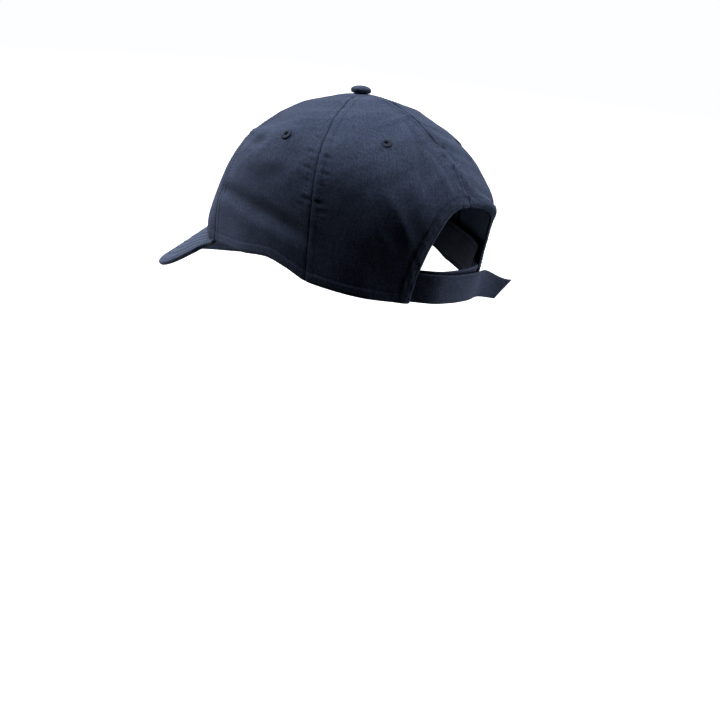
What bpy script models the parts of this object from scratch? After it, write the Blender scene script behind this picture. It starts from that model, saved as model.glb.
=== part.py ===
"""Bump cap: a six-panel cloth baseball cap worn over a removable hard shell.

The cap faces -Y, the wearer's left is +X and +Z runs up through the top button.
The origin is the centre of the head opening, level with the lowest point of the rim
at the back. Everything is in metres.

Every cloth layer is placed on one crown surface, crown_point(angle, climb): angle runs
round the cap from the front (0) over the wearer's left (90) to the back (180), and
climb runs up a meridian from the rim (0) to the button (1).
"""

import math

import bmesh
import bpy
from mathutils import Matrix, Vector

# Driving dimensions of the crown.
CROWN_HALF_WIDTH = 0.0863
CROWN_FRONT_REACH = 0.1160
CROWN_REAR_REACH = 0.1015
CROWN_HEIGHT = 0.1298
# Control points of each meridian: share of the reach, share of the height.
FRONT_PROFILE = ((1.0, 0.0), (1.03, 0.27), (0.775, 0.645), (0.33, 0.969), (0.0, 1.0))
SIDE_PROFILE = ((1.0, 0.0), (0.975, 0.556), (1.047, 0.836), (0.486, 0.98), (0.0, 1.0))
REAR_PROFILE = ((1.0, 0.0), (1.13, 0.509), (1.246, 0.393), (0.79, 1.009), (0.0, 1.0))
# Height of the rim round the cap: arched over the ears, highest above them.
RIM_STATIONS = ((0, 0.0165), (25, 0.0160), (54, 0.0149), (66, 0.0158), (79, 0.0168), (92, 0.0189),
                (102, 0.0146), (112, 0.0080), (145, 0.0011), (180, 0.0))

PANEL_SEAMS = (0.0, 56.0, 111.0, 180.0)
PANEL_NAMES = ("front", "side", "rear")
PANEL_TOP = 0.965
CLOTH = 0.0010
SEAM_GAP = 0.0004

# Each layer's depth is measured inward from the crown's outer surface.
TAPE_DEPTH = 0.0016
TAPE_THICKNESS = 0.0008
TAPE_HALF_WIDTH = 0.0060
TAPE_TOP = 0.93
BAND_DEPTH = 0.0034
BAND_THICKNESS = 0.0016
BAND_HEIGHT = 0.0310
BAND_END = 148.0
LABEL_ANGLES = (118.0, 132.0)
LABEL_HEIGHTS = (0.010, 0.019, 0.028)
LABEL_THICKNESS = 0.0004

EYELET_PLACES = ((28.0, 0.60), (90.0, 0.487), (143.0, 0.652))
EYELET_HOLE = 0.0045
EYELET_RING = 0.0027
EYELET_SECTION = 0.0014
EYELET_FLATNESS = 0.65

OPENING_HALF_WIDTH = 0.0355
OPENING_TOP = 0.0670
OPENING_POWER = 2.6
BINDING_WIDTH = 0.0070

# The peak: a sheet that slopes down to the front and droops to both sides.
PEAK_HALF_WIDTH = 0.0755
PEAK_SIDE_Y = -0.0640
PEAK_LENGTH = 0.1130
PEAK_POWER = 2.4
PEAK_FRONT_Z = 0.0219
PEAK_SLOPE = 0.645
PEAK_DROOP = 6.4
PEAK_COVER = 0.0008
PEAK_BOARD = 0.0014
PEAK_MARGIN = 0.0025
PEAK_GAP = 0.0003
# The peak is sewn to the crown as far round as this angle, and stops short of its sides.
PEAK_ROOT_ANGLE = 53.0
PEAK_SPREAD = 0.985
# Towards its corners the peak's root comes down to the rim, and at the very end its edge runs in.
PEAK_CORNER_DROP = 0.0048
PEAK_CORNER_FROM = 26.0
PEAK_CORNER_FADE = 0.010
PEAK_CORNER_TUCK = 0.55
PEAK_TUCK_FROM = 0.93

BUTTON_RADIUS = 0.0074
BUTTON_HEIGHT = 0.0050
BUTTON_STEM = 0.0022
BUTTON_CLEARANCE = 0.0006
BUTTON_WALL = 0.0007
BUTTON_WAIST = 0.86
WASHER_RADIUS = 0.0058

# The closure: two overlapping straps across the bottom of the rear opening.
STRAP_THICKNESS = 0.0012
STRAP_SEWN_DEPTH = 0.0034
STRAP_ROOT = 150.5
STRAP_LEAVES = 156.5
STRAP_OUT = 166.0
STRAP_HINGE = 160.0
STRAP_BENDS_OUT = 197.0
STRAP_LIFT = 0.0031
TAIL_TURN = 38.0
TAIL_RADIUS = 0.042
TAIL_STRAIGHT = 0.012
TAIL_SLANT = 0.0105
# How far the tail's lower and upper edges droop, over the last part of its length.
TAIL_DROOPS = (0.0046, 0.0098)
TAIL_DROOPS_OVER = 0.036
OUTER_ROOT_HEIGHTS = (0.0018, 0.0232)
OUTER_END_HEIGHTS = (-0.0016, 0.0192)
INNER_HEIGHTS = (0.0030, 0.0234)
LEAN_HEIGHTS = (0.002, 0.020)
HINGE_GAP = 0.7
INNER_DEPTH = 0.0008
INNER_END_DEPTH = 0.0062
INNER_START = -150.5
INNER_END = 151.5
INNER_TUCKS_OVER = (196.5, 203.0)
INNER_SLIPS_IN_OVER = (-170.0, -156.0)
LOOP_ANGLES = (196.0, 172.0)
PATCH_THICKNESS = 0.0008
PATCH_GAP = 0.0003
PATCH_HEIGHTS = (0.0045, 0.0178)

# The insert: a hard shell with foam pads, carried inside the crown.
SHELL_THICKNESS = 0.0022
SHELL_DEPTH = 0.0075
SHELL_REAR_EXTRA = 0.0090
SHELL_EDGE = ((0, 0.048), (90, 0.056), (180, 0.080))
SLOT_ANGLES = (30.0, 62.0, 94.0, 126.0, 158.0)
SLOT_LENGTH = 0.022
SLOT_WIDTH = 0.007
SLOT_HEIGHT = 0.098
SHELL_COLUMNS = 36
SHELL_ROWS = 8
SHELL_LAST_CLIMB = 0.95
PAD_GAP = 0.0004
PAD_THICKNESS = 0.0050
# Each pad covers some of the shell's rows and columns: name, first and last angle, rows.
PADS = (("front_pad", -30, 30, 1, 3), ("left_pad", 60, 110, 1, 3),
        ("right_pad", -110, -60, 1, 3), ("rear_pad", 150, 210, 1, 3))
CROWN_PAD_ROW = 6

NAVY = (0.035, 0.045, 0.085)
DARK_NAVY = (0.022, 0.028, 0.055)
BLACK = (0.02, 0.02, 0.022)
GREY = (0.10, 0.10, 0.11)
STEEL = (0.55, 0.55, 0.57)


def clear_scene():
    for thing in list(bpy.data.objects):
        bpy.data.objects.remove(thing, do_unlink=True)


def material(name, colour, roughness, metallic=0.0):
    """A plain finish, made once for each name."""
    found = bpy.data.materials.get(name)
    if found:
        return found
    made = bpy.data.materials.new(name)
    made.use_nodes = True
    shader = made.node_tree.nodes["Principled BSDF"]
    shader.inputs["Base Color"].default_value = (*colour, 1.0)
    shader.inputs["Roughness"].default_value = roughness
    shader.inputs["Metallic"].default_value = metallic
    return made


def add_object(name, mesh_maker, finish):
    """Wraps a bmesh as an object with outward faces and smooth shading."""
    mesh = bpy.data.meshes.new(name)
    bmesh.ops.recalc_face_normals(mesh_maker, faces=mesh_maker.faces)
    mesh_maker.to_mesh(mesh)
    mesh_maker.free()
    mesh.shade_smooth()
    mesh.set_sharp_from_angle(angle=math.radians(35))
    made = bpy.data.objects.new(name, mesh)
    made.data.materials.append(finish)
    bpy.context.scene.collection.objects.link(made)
    return made


def blend(stations, angle):
    """A smooth curve through (angle, value) stations that are mirrored at both ends."""
    a = abs((angle + 180.0) % 360.0 - 180.0)
    first, last = stations[0][0], stations[-1][0]
    points = [(2 * first - stations[1][0], stations[1][1]), *stations,
              (2 * last - stations[-2][0], stations[-2][1])]
    k = 1
    while k < len(points) - 3 and a > points[k + 1][0]:
        k += 1
    (a0, v0), (a1, v1), (a2, v2), (a3, v3) = points[k - 1:k + 3]
    span = a2 - a1
    t = (a - a1) / span
    slope1 = (v2 - v0) / (a2 - a0) * span
    slope2 = (v3 - v1) / (a3 - a1) * span
    return ((2 * t**3 - 3 * t**2 + 1) * v1 + (t**3 - 2 * t**2 + t) * slope1
            + (-2 * t**3 + 3 * t**2) * v2 + (t**3 - t**2) * slope2)


def bezier(controls, t):
    n = len(controls) - 1
    return sum(math.comb(n, i) * (1 - t) ** (n - i) * t**i * c for i, c in enumerate(controls))


def crown_point(angle, climb):
    """A point of the crown's outer surface."""
    a = math.radians(angle)
    c, s = math.cos(a), math.sin(a)
    lengthwise = FRONT_PROFILE if c > 0 else REAR_PROFILE
    reach = CROWN_FRONT_REACH if c > 0 else CROWN_REAR_REACH
    out = bezier([c * c * p[0] + s * s * q[0] for p, q in zip(lengthwise, SIDE_PROFILE)], climb)
    rise = bezier([c * c * p[1] + s * s * q[1] for p, q in zip(lengthwise, SIDE_PROFILE)], climb)
    rim = blend(RIM_STATIONS, angle)
    return Vector((CROWN_HALF_WIDTH * out * s, -reach * out * c, rim + (CROWN_HEIGHT - rim) * rise))


def crown_normal(angle, climb):
    """The outward normal, from small steps along the surface."""
    step = 0.01
    low, high = max(climb - step, 0.0), min(climb + step, 0.995)
    up = crown_point(angle, high) - crown_point(angle, low)
    round_ = crown_point(angle + 0.5, min(climb, 0.99)) - crown_point(angle - 0.5, min(climb, 0.99))
    return round_.cross(up).normalized()


def layer_point(angle, climb, depth):
    return crown_point(angle, climb) - crown_normal(angle, climb) * depth


def climb_at(angle, height):
    """The climb at which a meridian reaches a height."""
    low, high = 0.0, 1.0
    for _ in range(30):
        middle = (low + high) / 2
        if crown_point(angle, middle).z < height:
            low = middle
        else:
            high = middle
    return (low + high) / 2


def ease(value, low, high):
    t = min(max((value - low) / (high - low), 0.0), 1.0)
    return t * t * (3 - 2 * t)


def spread(first, last, count):
    return [first + (last - first) * i / count for i in range(count + 1)]


def sheet_solid(name, front, back, finish):
    """A closed sheet between two grids of points with the same rows and columns."""
    maker = bmesh.new()
    sides = [[[maker.verts.new(p) for p in row] for row in grid] for grid in (front, back)]
    rows, columns = len(front), len(front[0])
    for grid in sides:
        for i in range(rows - 1):
            for j in range(columns - 1):
                maker.faces.new((grid[i][j], grid[i][j + 1], grid[i + 1][j + 1], grid[i + 1][j]))
    f, b = sides
    for i in range(rows - 1):
        for j in (0, columns - 1):
            maker.faces.new((f[i][j], f[i + 1][j], b[i + 1][j], b[i][j]))
    for j in range(columns - 1):
        for i in (0, rows - 1):
            maker.faces.new((f[i][j], f[i][j + 1], b[i][j + 1], b[i][j]))
    return add_object(name, maker, finish)


def crown_sheet(name, angles, climbs, depth, thickness, finish):
    """A sheet on the crown: angles and climbs are functions or lists that give the grid."""
    def grid(at):
        return [[layer_point(a, c, at) for a, c in zip(row_angles, row_climbs)]
                for row_angles, row_climbs in zip(angles, climbs)]
    return sheet_solid(name, grid(depth), grid(depth + thickness), finish)


def turned(name, outline, finish, segments=20):
    """A body of revolution about Z from a closed outline of (radius, height) points."""
    maker = bmesh.new()
    rings = []
    for radius, height in outline:
        if radius < 1e-9:
            rings.append([maker.verts.new((0, 0, height))])
        else:
            turn = [2 * math.pi * k / segments for k in range(segments)]
            rings.append([maker.verts.new((radius * math.cos(t), radius * math.sin(t), height))
                          for t in turn])
    for lower, upper in zip(rings, rings[1:] + rings[:1]):
        if len(lower) == 1 and len(upper) == 1:
            continue
        for k in range(segments):
            n = (k + 1) % segments
            if len(lower) == 1:
                maker.faces.new((lower[0], upper[k], upper[n]))
            elif len(upper) == 1:
                maker.faces.new((lower[k], lower[n], upper[0]))
            else:
                maker.faces.new((lower[k], lower[n], upper[n], upper[k]))
    return add_object(name, maker, finish)


def helper(obj):
    """Marks a cutter, which is not a part of the cap."""
    obj.hide_render = True
    obj.display_type = "WIRE"
    return obj


def cut(target, cutter):
    step = target.modifiers.new("cut_" + cutter.name, "BOOLEAN")
    step.operation = "DIFFERENCE"
    step.solver = "EXACT"
    step.object = cutter


def stand_on(angle, climb):
    """The placement whose Z is the crown's normal and whose Y runs up the meridian."""
    z = crown_normal(angle, climb)
    x = Vector((0, 0, 1)).cross(z).normalized()
    y = z.cross(x)
    place = Matrix((x, y, z)).transposed().to_4x4()
    place.translation = crown_point(angle, climb)
    return place


# ---------------------------------------------------------------- crown

def panel_grid(low_angle, high_angle, columns, rows):
    """Angles and climbs of a panel, held back from both seams by half the gap."""
    angles, climbs = [], []
    for climb in spread(0.0, PANEL_TOP, rows):
        mid = crown_point((low_angle + high_angle) / 2, climb)
        keep = math.degrees(SEAM_GAP / 2 / math.hypot(mid.x, mid.y))
        row = spread(low_angle + keep, high_angle - keep, columns)
        angles.append(row)
        climbs.append([climb] * len(row))
    return angles, climbs


def opening_outline(points):
    """Half outline (x, z) of the arched rear opening, from the rim to the top."""
    outline = []
    for t in spread(0.0, math.pi / 2, points):
        x = OPENING_HALF_WIDTH * math.cos(t) ** (2 / OPENING_POWER)
        z = OPENING_TOP * math.sin(t) ** (2 / OPENING_POWER)
        outline.append((max(x, 0.0), z))
    return outline


def opening_cutter():
    """The arch as a prism along Y, deep enough to pass through the rear of the crown."""
    half = opening_outline(10)
    below = -0.02
    outline = [(OPENING_HALF_WIDTH, below), *half, *[(-x, z) for x, z in reversed(half[:-1])],
               (-OPENING_HALF_WIDTH, below)]
    near, far = 0.06, 0.14
    maker = bmesh.new()
    ends = [[maker.verts.new((x, y, z)) for x, z in outline] for y in (near, far)]
    maker.faces.new(ends[0])
    maker.faces.new(ends[1])
    for k in range(len(outline)):
        n = (k + 1) % len(outline)
        maker.faces.new((ends[0][k], ends[0][n], ends[1][n], ends[1][k]))
    return helper(add_object("opening_cutter", maker, material("cutter", GREY, 0.5)))


def eyelet_cutter(name, place):
    reach = 0.006
    outline = [(0.0, -reach), (EYELET_HOLE, -reach), (EYELET_HOLE, reach), (0.0, reach)]
    cutter = turned(name, outline, material("cutter", GREY, 0.5), 16)
    cutter.matrix_world = place
    return helper(cutter)


def eyelet(name, place, finish):
    """An embroidered ring, thicker than the cloth and lying in its hole."""
    steps = 5
    turn = [2 * math.pi * k / steps for k in range(steps)]
    outline = [(EYELET_RING + EYELET_SECTION * math.cos(t),
                EYELET_SECTION * EYELET_FLATNESS * math.sin(t)) for t in turn]
    ring = turned(name, outline, finish, 12)
    ring.matrix_world = place @ Matrix.Translation((0, 0, -CLOTH / 2))
    return ring


def build_crown():
    cloth = material("navy_twill", NAVY, 0.85)
    thread = material("navy_thread", DARK_NAVY, 0.7)
    arch = opening_cutter()
    for k, part in enumerate(PANEL_NAMES):
        for side, sign in (("left", 1), ("right", -1)):
            low, high = sorted((sign * PANEL_SEAMS[k], sign * PANEL_SEAMS[k + 1]))
            grid = panel_grid(low, high, 8, 14)
            panel = crown_sheet(f"{part}_{side}_panel", *grid, 0.0, CLOTH, cloth)
            angle, climb = EYELET_PLACES[k]
            place = stand_on(sign * angle, climb)
            cut(panel, eyelet_cutter(f"{part}_{side}_eyelet_cutter", place))
            eyelet(f"{part}_{side}_eyelet", place, thread)
            if part == "rear":
                cut(panel, arch)


def build_seam_tapes():
    """One tape behind each seam, from the rim, or the rear opening, to the button."""
    cloth = material("dark_tape", DARK_NAVY, 0.8)
    tapes = {"front": 0.0, "front_left": 56.0, "rear_left": 111.0,
             "rear": 180.0, "rear_right": -111.0, "front_right": -56.0}
    for name, angle in tapes.items():
        start = climb_at(180, OPENING_TOP + BINDING_WIDTH + 0.002) if name == "rear" else 0.0
        angles, climbs = [], []
        for climb in spread(start, TAPE_TOP, 14):
            centre = crown_point(angle, climb)
            across = math.hypot(centre.x, centre.y)
            half = min(math.degrees(TAPE_HALF_WIDTH / across), 26.0)
            angles.append(spread(angle - half, angle + half, 2))
            climbs.append([climb] * 3)
        crown_sheet(f"{name}_seam_tape", angles, climbs, TAPE_DEPTH, TAPE_THICKNESS, cloth)


def build_opening_binding():
    """The tape sewn inside the edge of the rear opening, as two concentric arches."""
    cloth = material("dark_tape", DARK_NAVY, 0.8)
    half = opening_outline(12)
    arch = [*half, *[(-x, z) for x, z in reversed(half[:-1])]]
    angles, climbs = [], []
    for width in (0.0006, BINDING_WIDTH):
        row_angles, row_climbs = [], []
        for x, z in arch:
            grow = 1 + width / math.hypot(x, z)
            wide, tall = x * grow, max(z * grow, 0.0012)
            angle = 180 - math.degrees(math.asin(wide / CROWN_HALF_WIDTH))
            for _ in range(6):
                climb = climb_at(angle, tall)
                wrong = crown_point(angle, climb).x - wide
                angle += math.degrees(wrong / CROWN_HALF_WIDTH)
            row_angles.append(angle)
            row_climbs.append(climb_at(angle, tall))
        angles.append(row_angles)
        climbs.append(row_climbs)
    crown_sheet("rear_opening_binding", angles, climbs, TAPE_DEPTH, TAPE_THICKNESS, cloth)


def build_sweatband():
    cloth = material("dark_tape", DARK_NAVY, 0.8)
    rows = (0.0006, BAND_HEIGHT * 0.5, BAND_HEIGHT)
    columns = spread(-BAND_END, BAND_END, 40)
    angles = [columns for _ in rows]
    climbs = [[climb_at(a, blend(RIM_STATIONS, a) + row) for a in columns] for row in rows]
    crown_sheet("sweatband", angles, climbs, BAND_DEPTH, BAND_THICKNESS, cloth)
    label_cloth = material("label", (0.6, 0.6, 0.58), 0.8)
    columns = spread(*LABEL_ANGLES, 3)
    climbs = [[climb_at(a, height) for a in columns] for height in LABEL_HEIGHTS]
    depth = BAND_DEPTH + BAND_THICKNESS + LABEL_THICKNESS
    crown_sheet("care_label", [columns] * 3, climbs, depth, LABEL_THICKNESS, label_cloth)


def build_button():
    """A cloth-covered button: cover, steel core with its stem, and the washer inside."""
    top = CROWN_HEIGHT - 0.0002
    wall = BUTTON_WALL
    gap = 0.0003
    r, h = BUTTON_RADIUS, BUTTON_HEIGHT
    waist = r * BUTTON_WAIST
    base = top + BUTTON_CLEARANCE
    dome = [(r * math.sin(t), base + h * 0.35 + h * 0.65 * math.cos(t))
            for t in spread(0.0, math.pi / 2, 5)]
    inner = [(max(x - wall, 0.0) if x > 0 else 0.0, z - wall) for x, z in dome]
    cover = [*dome, (waist, base), (waist - wall, base), *reversed(inner)]
    turned("button_cover", cover, material("navy_twill", NAVY, 0.85))
    core_top = [(max(x - gap, 0.0) if x > 0 else 0.0, z - gap) for x, z in inner]
    foot = top - 0.0052
    core = [*core_top, (waist - wall - gap, base + 0.0002), (BUTTON_STEM, base + 0.0002),
            (BUTTON_STEM, foot), (0.0, foot)]
    turned("button_core", core, material("steel", STEEL, 0.35, 1.0))
    washer_top = top - 0.0036
    hole = BUTTON_STEM + gap
    washer = [(hole, washer_top), (WASHER_RADIUS, washer_top - 0.0004),
              (WASHER_RADIUS, washer_top - 0.0012), (hole, washer_top - 0.0008)]
    turned("button_washer", washer, material("steel", STEEL, 0.35, 1.0))


# ---------------------------------------------------------------- peak

def peak_height(x, y):
    """Height of the peak's upper face, which comes down to the rim at its two corners."""
    aside, ahead = abs(x) / CROWN_HALF_WIDTH, -y / CROWN_FRONT_REACH
    corner = ease(math.degrees(math.atan2(aside, ahead)), PEAK_CORNER_FROM, PEAK_ROOT_ANGLE)
    away = (math.hypot(aside, ahead) - 1.0) * CROWN_FRONT_REACH
    fall = PEAK_CORNER_DROP * corner * math.exp(-(away / PEAK_CORNER_FADE) ** 2)
    return PEAK_FRONT_Z + PEAK_SLOPE * (y + CROWN_FRONT_REACH) - PEAK_DROOP * x * x - fall


def peak_grid(depth, margin, clearance):
    """Points from the crown's foot out to the peak's edge, one column for each direction."""
    columns, rows = 24, 5
    reach = PEAK_SPREAD * math.pi / 2
    grid = [[] for _ in range(rows + 1)]
    for t in spread(-reach, reach, columns):
        x = (PEAK_HALF_WIDTH - margin) * math.copysign(abs(math.sin(t)) ** (2 / PEAK_POWER), t)
        y = PEAK_SIDE_Y - (PEAK_LENGTH - margin) * math.cos(t) ** (2 / PEAK_POWER)
        root_angle = PEAK_ROOT_ANGLE * t / reach
        height = peak_height(*crown_point(root_angle, 0.0).xy) - depth
        root = layer_point(root_angle, climb_at(root_angle, height), -clearance)
        out = 1.0 - PEAK_CORNER_TUCK * ease(abs(t) / reach, PEAK_TUCK_FROM, 1.0)
        for i, share in enumerate(spread(0.0, out, rows)):
            px = root.x + (x - root.x) * share
            py = root.y + (y - root.y) * share
            grid[i].append(Vector((px, py, peak_height(px, py) - depth)))
    return grid


def build_peak():
    """Upper cloth, plastic board and lower cloth, one under the other."""
    cloth = material("navy_twill", NAVY, 0.85)
    board = material("board", GREY, 0.5)
    below = 0.0
    layers = (("peak_upper_cover", PEAK_COVER, 0.0, cloth),
              ("peak_board", PEAK_BOARD, PEAK_MARGIN, board),
              ("peak_lower_cover", PEAK_COVER, 0.0, cloth))
    for name, thickness, margin, finish in layers:
        clearance = 0.0007 + margin * 0.4
        upper = peak_grid(below, margin, clearance)
        lower = peak_grid(below + thickness, margin, clearance)
        sheet_solid(name, upper, lower, finish)
        below += thickness + PEAK_GAP


# ---------------------------------------------------------------- closure

def rim_station(angle, out):
    """Where a strap stands at the rim: its foot, and its lean for each metre of height.

    The strap leans with the crown, and stands off it by the distance out.
    """
    low, high = (crown_point(angle, climb_at(angle, h)) for h in LEAN_HEIGHTS)
    lean = (high - low) / (LEAN_HEIGHTS[1] - LEAN_HEIGHTS[0])
    normal = crown_normal(angle, 0.03)
    normal.z = 0.0
    return low - lean * LEAN_HEIGHTS[0] + normal.normalized() * out, lean


def outer_strap_stations(first, last, count, shift=0.0):
    """From inside the left panel's edge, where it is sewn, to the outside of the cap."""
    stations = []
    for angle in spread(first, last, count):
        rise = STRAP_SEWN_DEPTH + STRAP_LIFT
        out = rise * ease(angle, STRAP_LEAVES, STRAP_OUT) - STRAP_SEWN_DEPTH
        stations.append(rim_station(angle, out + shift))
    return stations


def tail_stations(count):
    """The free tail: an arc that turns away from the head, then a straight end."""
    (before, _), (start, lean) = outer_strap_stations(STRAP_BENDS_OUT - 0.5, STRAP_BENDS_OUT, 1)
    heading = (start - before).to_2d().normalized()
    turn = math.radians(TAIL_TURN)
    left = Vector((-heading.y, heading.x))
    path = []
    for t in spread(0.0, turn, count)[1:]:
        along = TAIL_RADIUS * math.sin(t)
        aside = -TAIL_RADIUS * (1 - math.cos(t))
        step = heading * along + left * aside
        path.append(start + step.to_3d())
    end_heading = heading * math.cos(turn) - left * math.sin(turn)
    path.append(path[-1] + (end_heading * TAIL_STRAIGHT).to_3d())
    return [(point, lean) for point in path]


def strap_solid(name, stations, bottoms, tops, thickness, finish):
    """A flat strap standing on edge along its stations, thickness split to both sides."""
    outer, inner = [[], [], []], [[], [], []]
    last = len(stations) - 1
    for k, (foot, lean) in enumerate(stations):
        ahead = stations[min(k + 1, last)][0] - stations[max(k - 1, 0)][0]
        side = Vector((ahead.y, -ahead.x, 0)).normalized() * (thickness / 2)
        for row, share in enumerate((0.0, 0.5, 1.0)):
            place = foot + lean * (bottoms[k] + (tops[k] - bottoms[k]) * share)
            outer[row].append(place + side)
            inner[row].append(place - side)
    return sheet_solid(name, outer, inner, finish)


def along(stations):
    lengths = [0.0]
    for (a, _), (b, _) in zip(stations, stations[1:]):
        lengths.append(lengths[-1] + (b - a).length)
    return lengths


def outer_strap_heights(lengths):
    """Bottom and top of the outer strap, which tapers and then droops at its tail."""
    total = lengths[-1]
    edges = ([], [])
    for length in lengths:
        share = min(length / (total - TAIL_DROOPS_OVER), 1.0)
        drooped = ease(length, total - TAIL_DROOPS_OVER, total)
        for edge, root, end, droop in zip(edges, OUTER_ROOT_HEIGHTS, OUTER_END_HEIGHTS, TAIL_DROOPS):
            edge.append(root + (end - root) * share - droop * drooped)
    return edges


def slant_cutter(tip, before, bottom):
    """A block that takes the lower corner off the strap's end."""
    heading = (tip - before).normalized()
    side = Vector((heading.y, -heading.x, 0))
    width = OUTER_END_HEIGHTS[1] - OUTER_END_HEIGHTS[0]
    over, reach = 0.2, 0.03
    low = Vector((tip.x, tip.y, bottom - width * over))
    corners = [low - heading * TAIL_SLANT * (1 + over), low + heading * reach,
               Vector((tip.x, tip.y, bottom + reach)) + heading * reach,
               Vector((tip.x, tip.y, bottom + width * (1 + over))) + heading * TAIL_SLANT * over]
    maker = bmesh.new()
    near = [maker.verts.new(c - side * reach) for c in corners]
    far = [maker.verts.new(c + side * reach) for c in corners]
    maker.faces.new(near)
    maker.faces.new(far)
    for k in range(4):
        n = (k + 1) % 4
        maker.faces.new((near[k], near[n], far[n], far[k]))
    return helper(add_object("slant_cutter", maker, material("cutter", GREY, 0.5)))


def build_closure():
    cloth = material("navy_twill", NAVY, 0.85)
    hooks = material("hooks", BLACK, 0.9)
    sewn = outer_strap_stations(STRAP_ROOT, STRAP_HINGE - HINGE_GAP, 4)
    free = [*outer_strap_stations(STRAP_HINGE, STRAP_BENDS_OUT, 16), *tail_stations(7)]
    bottoms, tops = outer_strap_heights(along([*sewn, *free]))
    n = len(sewn)
    strap_solid("outer_strap_root", sewn, bottoms[:n], tops[:n], STRAP_THICKNESS, cloth)
    strap = strap_solid("outer_strap", free, bottoms[n:], tops[n:], STRAP_THICKNESS, cloth)
    cut(strap, slant_cutter(free[-1][0], free[-2][0], bottoms[-1]))

    # Hook tape on the inner face of the outer strap, loop tape on the inner strap.
    back = -(STRAP_THICKNESS + PATCH_THICKNESS) / 2 - PATCH_GAP
    hook = outer_strap_stations(STRAP_OUT, STRAP_BENDS_OUT - 1.0, 12, back)
    low, high = ([height] * len(hook) for height in PATCH_HEIGHTS)
    strap_solid("hook_patch", hook, low, high, PATCH_THICKNESS, hooks)

    # The inner strap comes from the right and slides in behind the left panel.
    inner = []
    for angle in spread(360 + INNER_START, INNER_END, 22):
        tucked = STRAP_SEWN_DEPTH * ease(angle, *INNER_TUCKS_OVER)
        free_end = INNER_END_DEPTH * ease(-angle, *INNER_SLIPS_IN_OVER)
        inner.append(rim_station(angle, -INNER_DEPTH - tucked - free_end))
    low, high = ([height] * len(inner) for height in INNER_HEIGHTS)
    strap_solid("inner_strap", inner, low, high, STRAP_THICKNESS, cloth)
    front = (STRAP_THICKNESS + PATCH_THICKNESS) / 2 + PATCH_GAP - INNER_DEPTH
    loops = [rim_station(angle, front) for angle in spread(*LOOP_ANGLES, 12)]
    low, high = ([height] * len(loops) for height in PATCH_HEIGHTS)
    strap_solid("loop_patch", loops, low, high, PATCH_THICKNESS, hooks)


# ---------------------------------------------------------------- insert

def insert_point(angle, climb, depth):
    """A point inside the cloth, further in at the lower back so that the insert clears the straps."""
    c = math.cos(math.radians(angle))
    extra = SHELL_REAR_EXTRA * c * c * (1 - ease(climb, 0.6, 0.95)) if c < 0 else 0.0
    return layer_point(angle, climb, SHELL_DEPTH + extra + depth)


def shell_climb(angle, row):
    low = climb_at(angle, blend(SHELL_EDGE, angle))
    return low + (SHELL_LAST_CLIMB - low) * row / SHELL_ROWS


def dome_solid(name, first_row, depth, thickness, finish):
    """A dome on the shell's own grid, closed at the top and open below."""
    maker = bmesh.new()
    turn = [-180 + 360 * j / SHELL_COLUMNS for j in range(SHELL_COLUMNS)]
    skins = []
    for at in (depth, depth + thickness):
        rings = [[maker.verts.new(insert_point(a, shell_climb(a, row), at)) for a in turn]
                 for row in range(first_row, SHELL_ROWS + 1)]
        apex = maker.verts.new((0, 0, CROWN_HEIGHT - SHELL_DEPTH - at))
        skins.append((rings, apex))
    for rings, apex in skins:
        for j in range(SHELL_COLUMNS):
            n = (j + 1) % SHELL_COLUMNS
            for lower, upper in zip(rings, rings[1:]):
                maker.faces.new((lower[j], lower[n], upper[n], upper[j]))
            maker.faces.new((rings[-1][j], rings[-1][n], apex))
    outside, inside = skins[0][0][0], skins[1][0][0]
    for j in range(SHELL_COLUMNS):
        n = (j + 1) % SHELL_COLUMNS
        maker.faces.new((outside[j], outside[n], inside[n], inside[j]))
    return add_object(name, maker, finish)


def slot_cutter(name, angle):
    """A round-ended slot through the shell, long round the cap."""
    climb = climb_at(angle, SLOT_HEIGHT)
    place = stand_on(angle, climb)
    reach = 0.03
    straight = (SLOT_LENGTH - SLOT_WIDTH) / 2
    outline = []
    for centre, start in ((straight, -90), (-straight, 90)):
        for t in spread(start, start + 180, 4):
            r = math.radians(t)
            outline.append((centre + SLOT_WIDTH / 2 * math.cos(r), SLOT_WIDTH / 2 * math.sin(r)))
    maker = bmesh.new()
    ends = [[maker.verts.new((x, y, z)) for x, y in outline] for z in (-reach, reach / 4)]
    maker.faces.new(ends[0])
    maker.faces.new(ends[1])
    for k in range(len(outline)):
        n = (k + 1) % len(outline)
        maker.faces.new((ends[0][k], ends[0][n], ends[1][n], ends[1][k]))
    cutter = add_object(name, maker, material("cutter", GREY, 0.5))
    cutter.matrix_world = place
    return helper(cutter)


def pad(name, first_angle, last_angle, first_row, last_row, finish):
    """A foam pad bonded to the inside of the shell."""
    step = 360 // SHELL_COLUMNS
    angles = range(first_angle, last_angle + 1, step)
    start = SHELL_THICKNESS + PAD_GAP
    faces = [[[insert_point(a, shell_climb(a, row), depth) for a in angles]
              for row in range(first_row, last_row + 1)]
             for depth in (start, start + PAD_THICKNESS)]
    return sheet_solid(name, *faces, finish)


def build_insert():
    plastic = material("shell_plastic", BLACK, 0.4)
    foam = material("foam", GREY, 0.95)
    shell = dome_solid("bump_shell", 0, 0.0, SHELL_THICKNESS, plastic)
    for k, angle in enumerate(SLOT_ANGLES):
        for side, sign in (("left", 1), ("right", -1)):
            cut(shell, slot_cutter(f"slot_cutter_{side}_{k}", sign * angle))
    dome_solid("crown_pad", CROWN_PAD_ROW, SHELL_THICKNESS + PAD_GAP, PAD_THICKNESS, foam)
    for place in PADS:
        pad(*place, foam)


def main():
    clear_scene()
    build_crown()
    build_seam_tapes()
    build_opening_binding()
    build_sweatband()
    build_button()
    build_peak()
    build_closure()
    build_insert()


main()
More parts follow.
